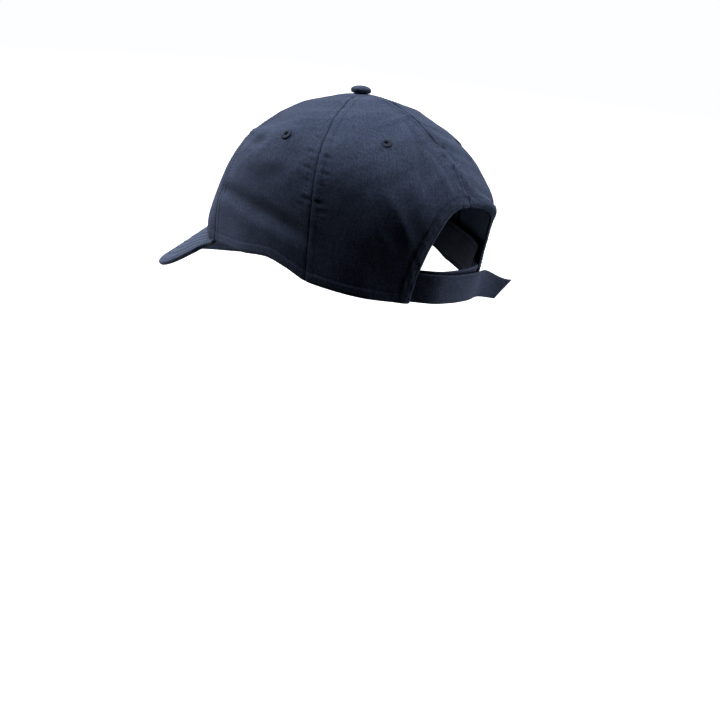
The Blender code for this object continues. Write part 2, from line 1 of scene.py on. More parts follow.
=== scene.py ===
"""The look of the bump cap: cloth, stitching, closure, sweatband, hard shell and pads.

Every piece is built on the same crown surface as the CAD model. A place on it is an
angle in degrees (0 front, 90 the wearer's left, 180 back) and a climb from the rim (0)
to the button (1). Lengths are in metres, but the tables of cloth relief and shade are
in millimetres.
"""

import math

import bmesh
import bpy
import numpy as np
from mathutils import Matrix, Vector


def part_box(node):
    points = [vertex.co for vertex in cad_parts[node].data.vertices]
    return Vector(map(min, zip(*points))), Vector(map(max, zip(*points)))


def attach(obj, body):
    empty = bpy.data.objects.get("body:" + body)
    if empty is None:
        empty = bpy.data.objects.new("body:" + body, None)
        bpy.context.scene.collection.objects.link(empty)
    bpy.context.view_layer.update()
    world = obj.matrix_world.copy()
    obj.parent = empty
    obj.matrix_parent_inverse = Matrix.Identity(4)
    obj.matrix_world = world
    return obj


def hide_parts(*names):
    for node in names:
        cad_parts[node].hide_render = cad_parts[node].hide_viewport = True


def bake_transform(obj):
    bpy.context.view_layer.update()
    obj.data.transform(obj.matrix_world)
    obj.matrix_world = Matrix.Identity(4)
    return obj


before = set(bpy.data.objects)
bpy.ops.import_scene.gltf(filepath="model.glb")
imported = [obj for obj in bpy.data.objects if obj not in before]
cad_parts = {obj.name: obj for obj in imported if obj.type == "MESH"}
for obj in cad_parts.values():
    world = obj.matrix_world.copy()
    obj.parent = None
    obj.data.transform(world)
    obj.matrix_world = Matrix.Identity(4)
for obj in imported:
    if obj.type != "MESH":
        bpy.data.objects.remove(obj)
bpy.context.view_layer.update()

MM = 0.001
FULL_TURN = 2 * math.pi
SIDES = {"left": 1, "right": -1}

# ------------------------------------------------------------- the crown surface
HALF_WIDTH = 0.0863
FRONT_REACH = 0.1160
REAR_REACH = 0.1015
HEIGHT = 0.1298
FRONT_PROFILE = ((1.0, 0.0), (1.03, 0.27), (0.775, 0.645), (0.33, 0.969), (0.0, 1.0))
SIDE_PROFILE = ((1.0, 0.0), (0.975, 0.556), (1.047, 0.836), (0.486, 0.98), (0.0, 1.0))
REAR_PROFILE = ((1.0, 0.0), (1.13, 0.509), (1.246, 0.393), (0.79, 1.009), (0.0, 1.0))
RIM_STATIONS = ((0, 0.0165), (25, 0.0160), (54, 0.0149), (66, 0.0158), (79, 0.0168), (92, 0.0189),
                (102, 0.0146), (112, 0.0080), (145, 0.0011), (180, 0.0))
REAR = 180.0
SEAMS = {"front": 0.0, "front_left": 56.0, "rear_left": 111.0,
         "rear": REAR, "rear_right": -111.0, "front_right": -56.0}
PANELS = {"front": (0.0, 56.0), "side": (56.0, 111.0), "rear": (111.0, REAR)}
EYELETS = {"front": (28.0, 0.60), "side": (90.0, 0.487), "rear": (143.0, 0.652)}
OPENING_HALF_WIDTH = 0.0355
OPENING_TOP = 0.0670
OPENING_POWER = 2.6
TOP_CLIMB = 0.992


def wrap(angle):
    return (np.asarray(angle, float) + 180.0) % 360.0 - 180.0


def ease(value, low, high):
    t = np.clip((np.asarray(value, float) - low) / (high - low), 0.0, 1.0)
    return t * t * (3 - 2 * t)


def bell(distance, width):
    return np.exp(-(distance / width) ** 2)


def unit(v):
    return v / np.maximum(np.linalg.norm(v, axis=-1, keepdims=True), 1e-12)


def along_stations(stations, angle):
    """The smooth curve through (angle, value) stations, mirrored at both ends."""
    a = np.abs(wrap(angle))
    s = [(2 * stations[0][0] - stations[1][0], stations[1][1]), *stations,
         (2 * stations[-1][0] - stations[-2][0], stations[-2][1])]
    at, value = np.array(s, float).T
    k = np.clip(np.searchsorted(at, a, side="left") - 1, 1, len(at) - 3)
    span = at[k + 1] - at[k]
    t = (a - at[k]) / span
    slope1 = (value[k + 1] - value[k - 1]) / (at[k + 1] - at[k - 1]) * span
    slope2 = (value[k + 2] - value[k]) / (at[k + 2] - at[k]) * span
    return ((2 * t**3 - 3 * t**2 + 1) * value[k] + (t**3 - 2 * t**2 + t) * slope1
            + (-2 * t**3 + 3 * t**2) * value[k + 1] + (t**3 - t**2) * slope2)


def rim_height(angle):
    return along_stations(RIM_STATIONS, angle)


def crown(angle, climb):
    """Points of the crown's outer surface, for arrays of angle and climb."""
    angle, t = np.broadcast_arrays(np.asarray(angle, float), np.asarray(climb, float))
    a = np.radians(angle)
    c, s = np.cos(a), np.sin(a)
    ahead = c > 0
    out, rise = np.zeros_like(t), np.zeros_like(t)
    for i in range(5):
        weight = math.comb(4, i) * (1 - t) ** (4 - i) * t**i
        for axis, total in ((0, out), (1, rise)):
            lengthwise = np.where(ahead, FRONT_PROFILE[i][axis], REAR_PROFILE[i][axis])
            total += weight * (c * c * lengthwise + s * s * SIDE_PROFILE[i][axis])
    rim = rim_height(angle)
    reach = np.where(ahead, FRONT_REACH, REAR_REACH)
    return np.stack([HALF_WIDTH * out * s, -reach * out * c, rim + (HEIGHT - rim) * rise], -1)


def crown_normal(angle, climb, step=0.01, half_turn=0.5):
    angle, climb = np.asarray(angle, float), np.asarray(climb, float)
    low, high = np.maximum(climb - step, 0.0), np.minimum(climb + step, 0.995)
    up = crown(angle, high) - crown(angle, low)
    level = np.minimum(climb, 0.99)
    turn = crown(angle + half_turn, level) - crown(angle - half_turn, level)
    return unit(np.cross(turn, up))


def tangent_frame(angle, climb):
    """The level and rising directions of the crown at one place, and its normal."""
    normal = crown_normal(angle, climb)
    level = unit(np.cross(np.array([0, 0, 1.0]), normal))
    return level, np.cross(normal, level), normal


def climb_at(angle, height):
    """The climb at which each meridian reaches a height."""
    angle, height = np.broadcast_arrays(np.asarray(angle, float), np.asarray(height, float))
    low, high = np.zeros(angle.shape), np.ones(angle.shape)
    for _ in range(26):
        middle = (low + high) / 2
        under = crown(angle, middle)[..., 2] < height
        low, high = np.where(under, middle, low), np.where(under, high, middle)
    return (low + high) / 2


def rear_place(x, z):
    """The angle and climb of the crown's rear at a distance x to the left and a height z."""
    angle = 180 - np.degrees(np.arcsin(np.clip(x / HALF_WIDTH, -1, 1)))
    for _ in range(8):
        wrong = crown(angle, climb_at(angle, z))[..., 0] - x
        angle = angle + np.degrees(wrong / HALF_WIDTH)
    return angle, climb_at(angle, z)


def metres_to_a_degree(points):
    """How far one degree round the crown is, at each of its points."""
    return np.radians(np.hypot(points[..., 0], points[..., 1]))


def degrees_for(distance, angle, climb):
    return distance / np.maximum(metres_to_a_degree(crown(angle, climb)), math.radians(0.002))


# ------------------------------------------------------------- cloth relief
MERIDIAN = 150.0
FOLD_RADIUS = 82.0
FOLDS = (
    dict(points=((50, 0.205), (62, 0.198), (73, 0.174), (83, 0.146), (95, 0.126), (113, 0.120)),
         width=4.2, height=-2.1, hollow=0.9, hollow_at=-7.5, hollow_width=5.0),
    dict(points=((140, 0.44), (144, 0.35), (149, 0.26), (153, 0.17)),
         width=3.0, height=0.65, hollow=-0.40, hollow_at=8.0, hollow_width=5.0),
    dict(points=((133, 0.40), (135, 0.31), (139, 0.22), (146, 0.14)),
         width=2.2, height=0.25, hollow=-0.2, hollow_at=5.0, hollow_width=3.4),
    dict(points=((163, 0.84), (156, 0.66), (153, 0.52), (154, 0.38)),
         width=4.5, height=0.9, hollow=-1.0, hollow_at=8.0, hollow_width=6.0),
    dict(points=((118, 0.62), (121, 0.46), (121, 0.30)), width=7.0, height=0.5),
    dict(points=((68, 0.36), (82, 0.32), (97, 0.36)), width=6.0, height=0.55,
         hollow=-0.5, hollow_at=-9.0, hollow_width=6.0),
    dict(points=((164, 0.70), (168, 0.58), (170, 0.47)), width=3.0, height=0.6,
         hollow=-0.5, hollow_at=5.0, hollow_width=3.0),
    dict(points=((-48, 0.19), (-70, 0.17), (-92, 0.175), (-109, 0.16)),
         width=4.0, height=1.1, hollow=-0.9, hollow_at=9.0, hollow_width=6.0),
    dict(points=((-139, 0.40), (-146, 0.27), (-151, 0.16)),
         width=3.2, height=0.9, hollow=-0.8, hollow_at=-6.5, hollow_width=4.5),
    dict(points=((-152, 0.72), (-155, 0.55), (-153, 0.40)), width=5.0, height=0.8),
    dict(points=((12, 0.30), (30, 0.34), (46, 0.30)), width=7.0, height=0.6,
         hollow=-0.5, hollow_at=-9.0, hollow_width=6.0),
    dict(points=((-10, 0.26), (-28, 0.33), (-47, 0.32)), width=7.0, height=0.5),
)
# Swells and hollows: place, reach sideways and upwards, height.
BUMPS = (((62.0, 0.495), (7.0, 4.5), 1.9), ((69.0, 0.57), (17.0, 9.0), -3.2),
         ((75.0, 0.435), (6.5, 5.5), -2.2), ((84.0, 0.68), (20.0, 14.0), -1.6),
         ((68.0, 0.395), (7.0, 3.5), 0.8), ((100.0, 0.80), (24.0, 12.0), -0.9),
         ((65.0, 0.36), (12.0, 14.0), -1.3), ((-57.0, 0.50), (9.0, 7.0), 0.9),
         ((-68.0, 0.57), (15.0, 9.0), -1.6), ((100.0, 0.40), (12.0, 8.0), -0.8),
         ((127.0, 0.30), (16.0, 14.0), -0.9), ((47.0, 0.06), (17.0, 15.0), 3.6),
         ((-47.0, 0.06), (17.0, 15.0), 2.6), ((172.0, 0.55), (10.0, 12.0), 0.7),
         ((-157.5, 0.40), (10.0, 12.0), 2.4), ((-166.0, 0.80), (25.0, 12.0), -0.8))
# The bound edge stands away from the head at the right of the opening's top.
FLARE = ((-162.0, 0.435), (12.0, 15.0), 13.0)
FLARE_FADES_OVER = (0.5, 11.0)
# Climb and depth of the puckers across the left rear seam and the rear seam.
PUCKERS = {
    "rear_left": ((0.575, 0.2), (0.535, 0.4), (0.452, 0.6), (0.412, 0.2), (0.375, 0.5),
                  (0.345, 0.2), (0.322, 0.3), (0.252, 0.7), (0.222, 0.35)),
    "rear": ((0.725, 0.3), (0.690, 0.6), (0.655, 0.9), (0.632, 0.5), (0.598, 0.8),
             (0.560, 0.5), (0.528, 0.8), (0.500, 0.5), (0.470, 0.6)),
}
PUCKER_SLANT = 0.10
PUCKER_AWAY, PUCKER_STRAYS, PUCKER_LENGTH = 5.2, 2.2, 3.0
DENT_WIDTH, SWELL_ABOVE, SWELL_WIDTH = 1.2, 2.6, 1.7
SEAM_ROW = 0.0046
RIM_ROW = 0.0072
OPENING_ROWS = (0.0019, 0.0066)
# Sewn lines: distance from the seam or edge, width, height (and below them, painted shade: the same with
# tone in place of height).
SEAM_LINES = ((2.7, 1.9, 0.22), (0.0, 0.5, -0.75), (SEAM_ROW / MM, 0.6, -0.10))
RIM_LINES = ((RIM_ROW / MM, 0.6, -0.30), (0.0, 0.9, -0.90))
OPENING_LINES = ((OPENING_ROWS[0] / MM, 0.5, -0.25), (OPENING_ROWS[1] / MM, 0.6, -0.30))
EDGE_ROLL = ((0.0, 0.9, -1.0),)
SEAM_SHADE = ((0.0, 0.45, -0.5),)
REAR_SEAM_SHADE = ((0.0, 0.45, -1.6),)
RIM_SHADE = ((RIM_ROW / MM, 0.5, -0.35),)
OPENING_SHADE = ((OPENING_ROWS[1] / MM, 0.8, -1.3),)
DENT_SHADE = 0.75
# Hems are thicker up to their row of stitches: height, and where the step falls.
RIM_HEM = (0.30, 6.4, 8.2)
OPENING_HEM = (0.45, 6.0, 8.0)
OPENING_UNEVEN_AT, OPENING_UNEVEN_WIDTH, OPENING_UNEVEN = 4.5, 4.0, 0.36
# Unevenness of the whole cloth: height, size sideways and upwards, shifts, seed.
UNEVENNESS = ((0.75, 31, 27, 5, 0, 3), (0.32, 12, 15, 0, 9, 4), (0.06, 3.1, 3.6, 0, 0, 6))
SEAM_PULL_WIDTH = 8.0
REAR_SEAM_PULL = 2.7
SMOOTH_TOP = (0.90, 0.97)


def lattice_noise(x, y, seed):
    """Smooth noise from -1 to 1 over a plane, one feature to each unit."""
    xi, yi = np.floor(x).astype(np.int64), np.floor(y).astype(np.int64)
    fx, fy = x - xi, y - yi
    fx, fy = fx * fx * (3 - 2 * fx), fy * fy * (3 - 2 * fy)

    def value(i, j):
        h = (i * 374761393 + j * 668265263 + seed * 974634777) & 0xFFFFFFFF
        h = ((h ^ (h >> 13)) * 1274126177) & 0xFFFFFFFF
        return ((h ^ (h >> 16)) & 0xFFFF) / 32767.5 - 1.0
    low = value(xi, yi) * (1 - fx) + value(xi + 1, yi) * fx
    high = value(xi, yi + 1) * (1 - fx) + value(xi + 1, yi + 1) * fx
    return low * (1 - fy) + high * fy


def fold_relief(angle, y, points, width, height, hollow=0.0, hollow_at=0.0, hollow_width=1.0):
    """A fold along a line of places, fading at its ends, with a hollow to one side."""
    scale = math.radians(1) * FOLD_RADIUS
    x = angle * scale
    best = np.full(np.shape(x), 1e9)
    side, along = np.zeros(np.shape(x)), np.zeros(np.shape(x))
    path = np.array(points, float) * (scale, MERIDIAN)
    lengths = np.r_[0, np.cumsum(np.linalg.norm(np.diff(path, axis=0), axis=1))]
    for k, (a, b) in enumerate(zip(path, path[1:])):
        d = b - a
        size = np.hypot(*d)
        t = np.clip(((x - a[0]) * d[0] + (y - a[1]) * d[1]) / size**2, 0, 1)
        dx, dy = x - a[0] - t * d[0], y - a[1] - t * d[1]
        far = np.hypot(dx, dy)
        near = far < best
        best = np.where(near, far, best)
        side = np.where(near, np.sign(d[0] * dy - d[1] * dx) * far, side)
        along = np.where(near, (lengths[k] + t * size) / lengths[-1], along)
    fade = ease(along, -0.02, 0.22) * (1 - ease(along, 0.78, 1.02))
    fold = height * bell(best, width) + hollow * bell(side - hollow_at, hollow_width)
    return np.where(np.sign(points[1][0]) * angle > 0, fade * fold, 0.0)


def opening_distance(p):
    """How far outside the rear opening's edge a point of the crown is, where it is near it."""
    x, z = np.abs(p[..., 0]), np.maximum(p[..., 2], 0.0)
    n = OPENING_POWER
    f = (x / OPENING_HALF_WIDTH) ** n + (z / OPENING_TOP) ** n
    gx = n * (x / OPENING_HALF_WIDTH) ** (n - 1) / OPENING_HALF_WIDTH
    gz = n * (z / OPENING_TOP) ** (n - 1) / OPENING_TOP
    far = (f - 1) / np.maximum(np.hypot(gx, gz), 1e-6)
    return np.where(p[..., 1] > 0.02, far, 1.0)


def cloth_measures(angle, climb):
    """In millimetres: one degree, the distance from the opening and the height over the rim."""
    p = crown(angle, climb)
    above_rim = p[..., 2] - rim_height(angle)
    return metres_to_a_degree(p) / MM, opening_distance(p) / MM, above_rim / MM


def lines(distance, table):
    return sum(height * bell(distance - at, width) for at, width, height in table)


def bump(angle, climb, degree, place, reach, height):
    across = wrap(angle - place[0]) * degree
    return height * bell(across, reach[0]) * bell((climb - place[1]) * MERIDIAN, reach[1])


def puckers(angle, climb, degree):
    """The short dents that cross a seam, and the swell just above each."""
    dent, swell = np.zeros(angle.shape), np.zeros(angle.shape)
    for seam, marks in PUCKERS.items():
        across = wrap(angle - SEAMS[seam]) * degree
        for at, size in marks:
            up = (climb - at) * MERIDIAN - PUCKER_SLANT * across
            middle = PUCKER_AWAY + PUCKER_STRAYS * np.sin(90 * at)
            bow = size * bell(np.abs(across) - middle, PUCKER_LENGTH)
            dent += bow * bell(up, DENT_WIDTH)
            swell += bow * bell(up - SWELL_ABOVE, SWELL_WIDTH)
    return dent, swell


def relief(angle, climb):
    """How far the cloth stands out from the plain crown, in metres."""
    angle, climb = np.broadcast_arrays(wrap(angle), np.asarray(climb, float))
    degree, edge, above_rim = cloth_measures(angle, climb)
    height, x = climb * MERIDIAN, angle * degree
    below_top = 1 - ease(climb, *SMOOTH_TOP)
    d = np.zeros(angle.shape)
    for number, seam in enumerate(SEAMS.values()):
        across = wrap(angle - seam) * degree
        far = np.abs(across)
        strength = below_top * (0.75 + 0.25 * lattice_noise(height / 14, far * 0 + number, 7))
        d += strength * lines(far, SEAM_LINES)
        wave = lattice_noise(height / 4.2 + 0.10 * across, across / 16 + 31 * number, 11)
        slow = lattice_noise(height / 11 + 0.05 * across, across / 20 + 17 * number, 5)
        pull = REAR_SEAM_PULL if seam == REAR else 1.0
        d += bell(far, SEAM_PULL_WIDTH) * below_top * pull * (0.16 * wave + 0.40 * slow)
    dent, swell = puckers(angle, climb, degree)
    d += 0.5 * swell - 0.8 * dent
    for size, wide, tall, shift_x, shift_y, seed in UNEVENNESS:
        d += below_top * size * lattice_noise(x / wide + shift_x, height / tall + shift_y, seed)
    for fold in FOLDS:
        d += fold_relief(angle, height, **fold)
    for swelling in BUMPS:
        d += bump(angle, climb, degree, *swelling)
    d += bump(angle, climb, degree, *FLARE) * (1 - ease(edge, *FLARE_FADES_OVER))
    for far, (size, first, last) in ((above_rim, RIM_HEM), (edge, OPENING_HEM)):
        d += size * (1 - ease(far, first, last))
    uneven = OPENING_UNEVEN * bell(edge - OPENING_UNEVEN_AT, OPENING_UNEVEN_WIDTH)
    d += uneven * lattice_noise(x / 3.4, height / 3.4, 13)
    d += lines(above_rim, RIM_LINES) + lines(edge, OPENING_LINES)
    return (d + lines(np.maximum(edge, 0), EDGE_ROLL)) * MM


def seam_shade(angle, climb):
    """Painted shade: dark lines where panels meet and hems are sewn down, and shade in the puckers' dents.
    """
    degree, edge, above_rim = cloth_measures(angle, climb)
    shade = -DENT_SHADE * puckers(angle, climb, degree)[0]
    for seam in SEAMS.values():
        far = wrap(angle - seam) * degree
        shade += lines(far, REAR_SEAM_SHADE if seam == REAR else SEAM_SHADE)
    return shade + lines(edge, OPENING_SHADE) + lines(above_rim, RIM_SHADE)


def cloth_point(angle, climb, lift=0.0):
    """A point of the worn cloth, raised by some more."""
    normal = crown_normal(angle, climb)
    return crown(angle, climb) + normal * np.asarray(relief(angle, climb) + lift)[..., None]


# ------------------------------------------------------------- mesh helpers
def finish_mesh(name, verts, faces, material, uv=None, wear_and_shade=None, smooth=True):
    mesh = bpy.data.meshes.new(name)
    mesh.from_pydata(np.asarray(verts).reshape(-1, 3).tolist(), [], [list(map(int, f)) for f in faces])
    mesh.update()
    if uv is not None:
        layer = mesh.uv_layers.new(name="cloth")
        loop_verts = np.zeros(len(mesh.loops), np.int32)
        mesh.loops.foreach_get("vertex_index", loop_verts)
        layer.data.foreach_set("uv", np.asarray(uv, np.float32).reshape(-1, 2)[loop_verts].ravel())
    if wear_and_shade is not None:
        # The per-vertex tone holds wear on raised places and painted shade in hollows and along sewn lines.
        attribute = mesh.attributes.new("wear_and_shade", "FLOAT", "POINT")
        attribute.data.foreach_set("value", np.asarray(wear_and_shade, np.float32).ravel())
    if smooth:
        mesh.shade_smooth()
    piece = bpy.data.objects.new(name, mesh)
    piece.data.materials.append(material)
    bpy.context.scene.collection.objects.link(piece)
    return piece


def grid_faces(rows, columns, closed=False, rows_closed=False):
    """Quads of a grid, which may join up across its columns, its rows or both."""
    i, j = np.meshgrid(np.arange(rows if rows_closed else rows - 1),
                       np.arange(columns if closed else columns - 1), indexing="ij")
    above, beside = (i + 1) % rows, (j + 1) % columns
    corners = [i * columns + j, i * columns + beside, above * columns + beside, above * columns + j]
    return np.stack(corners, -1).reshape(-1, 4)


def lengths_along(points):
    steps = np.linalg.norm(np.diff(points, axis=-2), axis=-1)
    zero = np.zeros(steps.shape[:-1] + (1,))
    return np.concatenate([zero, np.cumsum(steps, -1)], -1)


def at_length(values, lengths, where):
    return np.stack([np.interp(where, lengths, values[:, k]) for k in range(3)], -1)


def metre_uv(points):
    """Real distances across and up a grid, so that the weave keeps its size."""
    across = lengths_along(points)
    across = across - across[:, -1:] / 2
    up = lengths_along(points[:, points.shape[1] // 2])[:, None] + 0 * across
    return np.stack([across, up], -1)


def thicken(piece, thickness):
    step = piece.modifiers.new("thickness", "SOLIDIFY")
    step.thickness, step.offset, step.use_even_offset = thickness, -1.0, False
    return piece


def outward(piece, hint):
    """Turns the faces so that the first one looks the way of hint."""
    if piece.data.polygons[0].normal.dot(Vector(hint)) < 0:
        piece.data.flip_normals()
    return piece


def cloth_sheet(name, points, material, hint, thickness, wear_and_shade=0.0):
    """A grid of points as cloth of some thickness, with its outer face towards hint."""
    piece = finish_mesh(name, points, grid_faces(*points.shape[:2]), material,
                        metre_uv(points), wear_and_shade + np.zeros(points.shape[:2]))
    return thicken(outward(piece, hint), thickness)


def solid_between(name, outer, inner, material, closed=False, tips=()):
    """A solid between two matching grids. One that is closed round its columns has tips."""
    rows, columns = outer.shape[:2]
    size, last_row = rows * columns, (rows - 1) * columns
    quads = grid_faces(rows, columns, closed)
    faces = [*quads.tolist(), *(quads + size)[:, ::-1].tolist()]
    border = list(range(columns))
    if not closed:
        border += [*range(2 * columns - 1, size, columns), *range(size - 2, last_row - 1, -1),
                   *range(last_row - columns, 0, -columns)]
    for here, after in zip(border, border[1:] + border[:1]):
        faces.append([here, here + size, after + size, after])
        if closed:
            here, after = here + last_row, after + last_row
            faces += [[here, after, 2 * size], [size + after, size + here, 2 * size + 1]]
    verts = [outer.reshape(-1, 3), inner.reshape(-1, 3), np.reshape(tips, (-1, 3))]
    return finish_mesh(name, np.concatenate(verts), faces, material)


def settle(piece, slot, body, *nodes):
    """The body a piece moves with, and the CAD nodes it stands for, which are hidden; slot, what it is made
    of, is not used.
    """
    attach(piece, body)
    if nodes:
        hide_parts(*nodes)
    return piece


# ------------------------------------------------------------- materials
class Nodes:
    """Short names for building the nodes of a material or a world."""

    def __init__(self, owner, shader="Principled BSDF"):
        owner.use_nodes = True
        self.owner = owner
        self.tree = owner.node_tree
        self.shader = self.tree.nodes[shader]

    def add(self, kind, inputs=None, **settings):
        node = self.tree.nodes.new("ShaderNode" + kind)
        for key, value in settings.items():
            setattr(node, key, value)
        for key, value in (inputs or {}).items():
            self.plug(value, node.inputs[key])
        return node

    def plug(self, value, socket):
        if isinstance(value, bpy.types.NodeSocket):
            self.tree.links.new(value, socket)
        else:
            socket.default_value = value

    def place(self, output="Object"):
        return self.add("TexCoord").outputs[output]

    def math(self, operation, *values):
        return self.add("Math", dict(enumerate(values)), operation=operation).outputs[0]

    def mix(self, share, a, b, blend="MIX"):
        return self.add("Mix", {0: share, 6: a, 7: b}, data_type="RGBA", blend_type=blend).outputs[2]

    def scaled(self, vector, scale, turn=0.0):
        return self.add("Mapping", {"Vector": vector, "Scale": scale,
                                    "Rotation": (0.0, 0.0, turn)}).outputs[0]

    def noise(self, vector, scale, detail=2.0):
        return self.add("TexNoise", {"Vector": vector, "Scale": scale, "Detail": detail}).outputs[0]

    def streaks(self, vector, wide, tall, detail, turn=0.0):
        """Noise whose features have a width and a height in metres."""
        return self.noise(self.scaled(vector, (1 / wide, 1 / tall, 1.0), turn), 1.0, detail)

    def waves(self, vector, scale, distortion, direction="X", detail=2.0):
        return self.add("TexWave", {"Vector": vector, "Scale": scale, "Distortion": distortion,
                                    "Detail": detail}, wave_type="BANDS",
                        bands_direction=direction).outputs["Fac"]

    def cells(self, vector, scale):
        return self.add("TexVoronoi", {"Vector": vector, "Scale": scale}).outputs["Distance"]

    def span(self, value, low, high, out_low=0.0, out_high=1.0):
        return self.add("MapRange", {"Value": value, "From Min": low, "From Max": high,
                                     "To Min": out_low, "To Max": out_high}).outputs[0]

    def bump(self, height, distance, strength, under=None):
        inputs = {"Height": height, "Distance": distance, "Strength": strength}
        if under is not None:
            inputs["Normal"] = under
        return self.add("Bump", inputs).outputs[0]

    def set(self, **values):
        for key, value in values.items():
            self.plug(value, self.shader.inputs[key.replace("_", " ")])
        return self.owner


def new_material(name):
    return Nodes(bpy.data.materials.new(name))


def rgba(colour, factor=1.0):
    return (*(c * factor for c in colour), 1.0)


LINT_COLOUR = (0.35, 0.38, 0.45)
SCUFF_COLOUR = (0.2, 0.2, 0.21)
WORN_TINT = (1.7, 1.65, 1.5)
# A wave texture of this scale repeats once in each unit.
WAVE_UNIT = FULL_TURN / 20


def cloth_material(name, colour, yarn=0.00050, sheen=0.10, tint=(0.45, 0.58, 1.0), depth=0.00010,
                   variation=1.0, roughness=0.86, use_uv=True):
    """A twill: diagonal ribs crossed by yarns, with slubs, ridges faded by wear, and painted shade in the
    hollows and along sewn lines.
    """
    n = new_material(name)
    place = n.add("UVMap", uv_map="cloth").outputs[0] if use_uv else n.place()
    diagonal = n.scaled(place, (1, 1, 1), math.radians(52))
    ribs = n.waves(diagonal, WAVE_UNIT / (yarn * 2.1), 0.25, detail=1.0)
    yarns = n.waves(place, WAVE_UNIT / yarn, 0.3, "Y")
    weave = n.math("MULTIPLY_ADD", yarns, 0.45, n.math("MULTIPLY", ribs, 0.55))
    warp, weft = n.streaks(place, 0.0011, 0.013, 3.0), n.streaks(place, 0.016, 0.0010, 3.0)
    slubs = n.math("ADD", n.math("MULTIPLY", warp, 0.5), n.math("MULTIPLY", weft, 0.5))
    shade = None
    for source, low, high, spread in ((slubs, 0.34, 0.66, 0.30 * variation),
                                      (n.streaks(place, 0.0009, 0.0022, 2.0), 0.3, 0.7, 0.34 * variation),
                                      (n.noise(place, 38.0, 3.0), 0.3, 0.7, 0.07),
                                      (weave, 0.0, 1.0, 0.14)):
        factor = n.span(source, low, high, 1 - spread, 1 + spread)
        shade = factor if shade is None else n.math("MULTIPLY", shade, factor)
    grey = n.add("CombineColor", {"Red": shade, "Green": shade, "Blue": shade}).outputs[0]
    lit = n.mix(1.0, rgba(colour), grey, "MULTIPLY")
    if use_uv:
        wear_and_shade = n.add("Attribute", attribute_name="wear_and_shade").outputs["Fac"]
        faded = rgba([c * t for c, t in zip(colour, WORN_TINT)])
        lit = n.mix(n.span(wear_and_shade, 0.3, 1.4, 0.0, 0.32), lit, faded)
        # Painted shade: low tone (hollows, seam, hem and pucker lines, strap edges) darkens towards a third
        # of the colour.
        lit = n.mix(n.span(wear_and_shade, -0.3, -1.3, 0.0, 0.55), lit, rgba(colour, 0.35))
    lint = n.span(n.streaks(place, 0.0022, 0.0009, 1.0, 0.6), 0.745, 0.80)
    lit = n.mix(n.math("MULTIPLY", lint, 0.22), lit, rgba(LINT_COLOUR))
    surface = n.bump(slubs, depth * 1.6, 0.5, n.bump(weave, depth, 0.75))
    rough = n.span(slubs, 0.35, 0.65, roughness - 0.05, roughness + 0.05)
    return n.set(Base_Color=lit, Roughness=rough, Normal=surface, Sheen_Weight=sheen,
                 Sheen_Roughness=0.45, Sheen_Tint=rgba(tint), Specular_IOR_Level=0.12)


def thread_material(name, colour):
    """Twisted sewing thread with a slight gloss."""
    n = new_material(name)
    place = n.place()
    twist = n.waves(n.scaled(place, (1, 1, 1), 0.8), 900.0, 1.0)
    tint = n.noise(place, 260.0)
    lit = n.mix(n.span(twist, 0.1, 0.9, 0.0, 0.5), rgba(colour), rgba(colour, 0.55))
    lit = n.mix(n.span(tint, 0.35, 0.7, 0.0, 0.35), lit, rgba(colour, 1.6))
    return n.set(Base_Color=lit, Roughness=n.span(tint, 0.3, 0.7, 0.65, 0.8),
                 Normal=n.bump(twist, 0.00006, 0.6), Specular_IOR_Level=0.2)


def plastic_material(name, colour, roughness):
    """Moulded plastic with a fine spark-eroded grain and light handling marks."""
    n = new_material(name)
    place = n.place()
    patches = n.noise(place, 60.0, 4.0)
    marks = n.span(n.noise(n.scaled(place, (90, 700, 700), 0.5), 1.0), 0.66, 0.72)
    lit = n.mix(n.span(patches, 0.3, 0.7), rgba(colour, 0.85), rgba(colour, 1.2))
    lit = n.mix(n.math("MULTIPLY", marks, 0.125), lit, rgba(SCUFF_COLOUR))
    rough = n.span(patches, 0.3, 0.7, roughness - 0.05, roughness + 0.08)
    return n.set(Base_Color=lit, Roughness=n.math("MULTIPLY_ADD", marks, 0.12, rough),
                 Normal=n.bump(n.noise(place, 2600.0), 0.00004, 0.6))


def metal_material(name, colour, roughness):
    n = new_material(name)
    brushed = n.noise(n.scaled(n.place(), (200, 200, 4000)), 1.0)
    return n.set(Base_Color=n.mix(n.span(brushed, 0.3, 0.7), rgba(colour, 0.85), rgba(colour)),
                 Roughness=n.span(brushed, 0.3, 0.7, roughness - 0.06, roughness + 0.08),
                 Normal=n.bump(brushed, 0.00002, 0.4), Metallic=1.0)


def hook_material(name, colour, pitch):
    """Rows of tiny hooks or a mat of loops."""
    n = new_material(name)
    place = n.place()
    tufts, fuzz = n.cells(place, 1 / pitch), n.noise(place, 1800.0, 3.0)
    return n.set(Base_Color=n.mix(n.span(tufts, 0.1, 0.6), rgba(colour, 1.6), rgba(colour, 0.5)),
                 Roughness=n.span(fuzz, 0.3, 0.7, 0.75, 0.95), Sheen_Weight=0.4,
                 Normal=n.bump(n.math("SUBTRACT", fuzz, tufts), 0.0004, 0.9))


def foam_material(name, colour):
    """Closed-cell foam under a thin brushed knit."""
    n = new_material(name)
    place = n.place()
    cells, cloudy = n.cells(place, 900.0), n.noise(place, 90.0, 4.0)
    lit = n.mix(n.span(cells, 0.05, 0.6), rgba(colour, 0.6), rgba(colour, 1.25))
    lit = n.mix(n.span(cloudy, 0.35, 0.7, 0.0, 0.35), lit, rgba(colour, 1.7))
    return n.set(Base_Color=lit, Roughness=n.span(cloudy, 0.3, 0.7, 0.86, 0.97),
                 Normal=n.bump(cells, 0.0002, 0.6), Sheen_Weight=0.25)


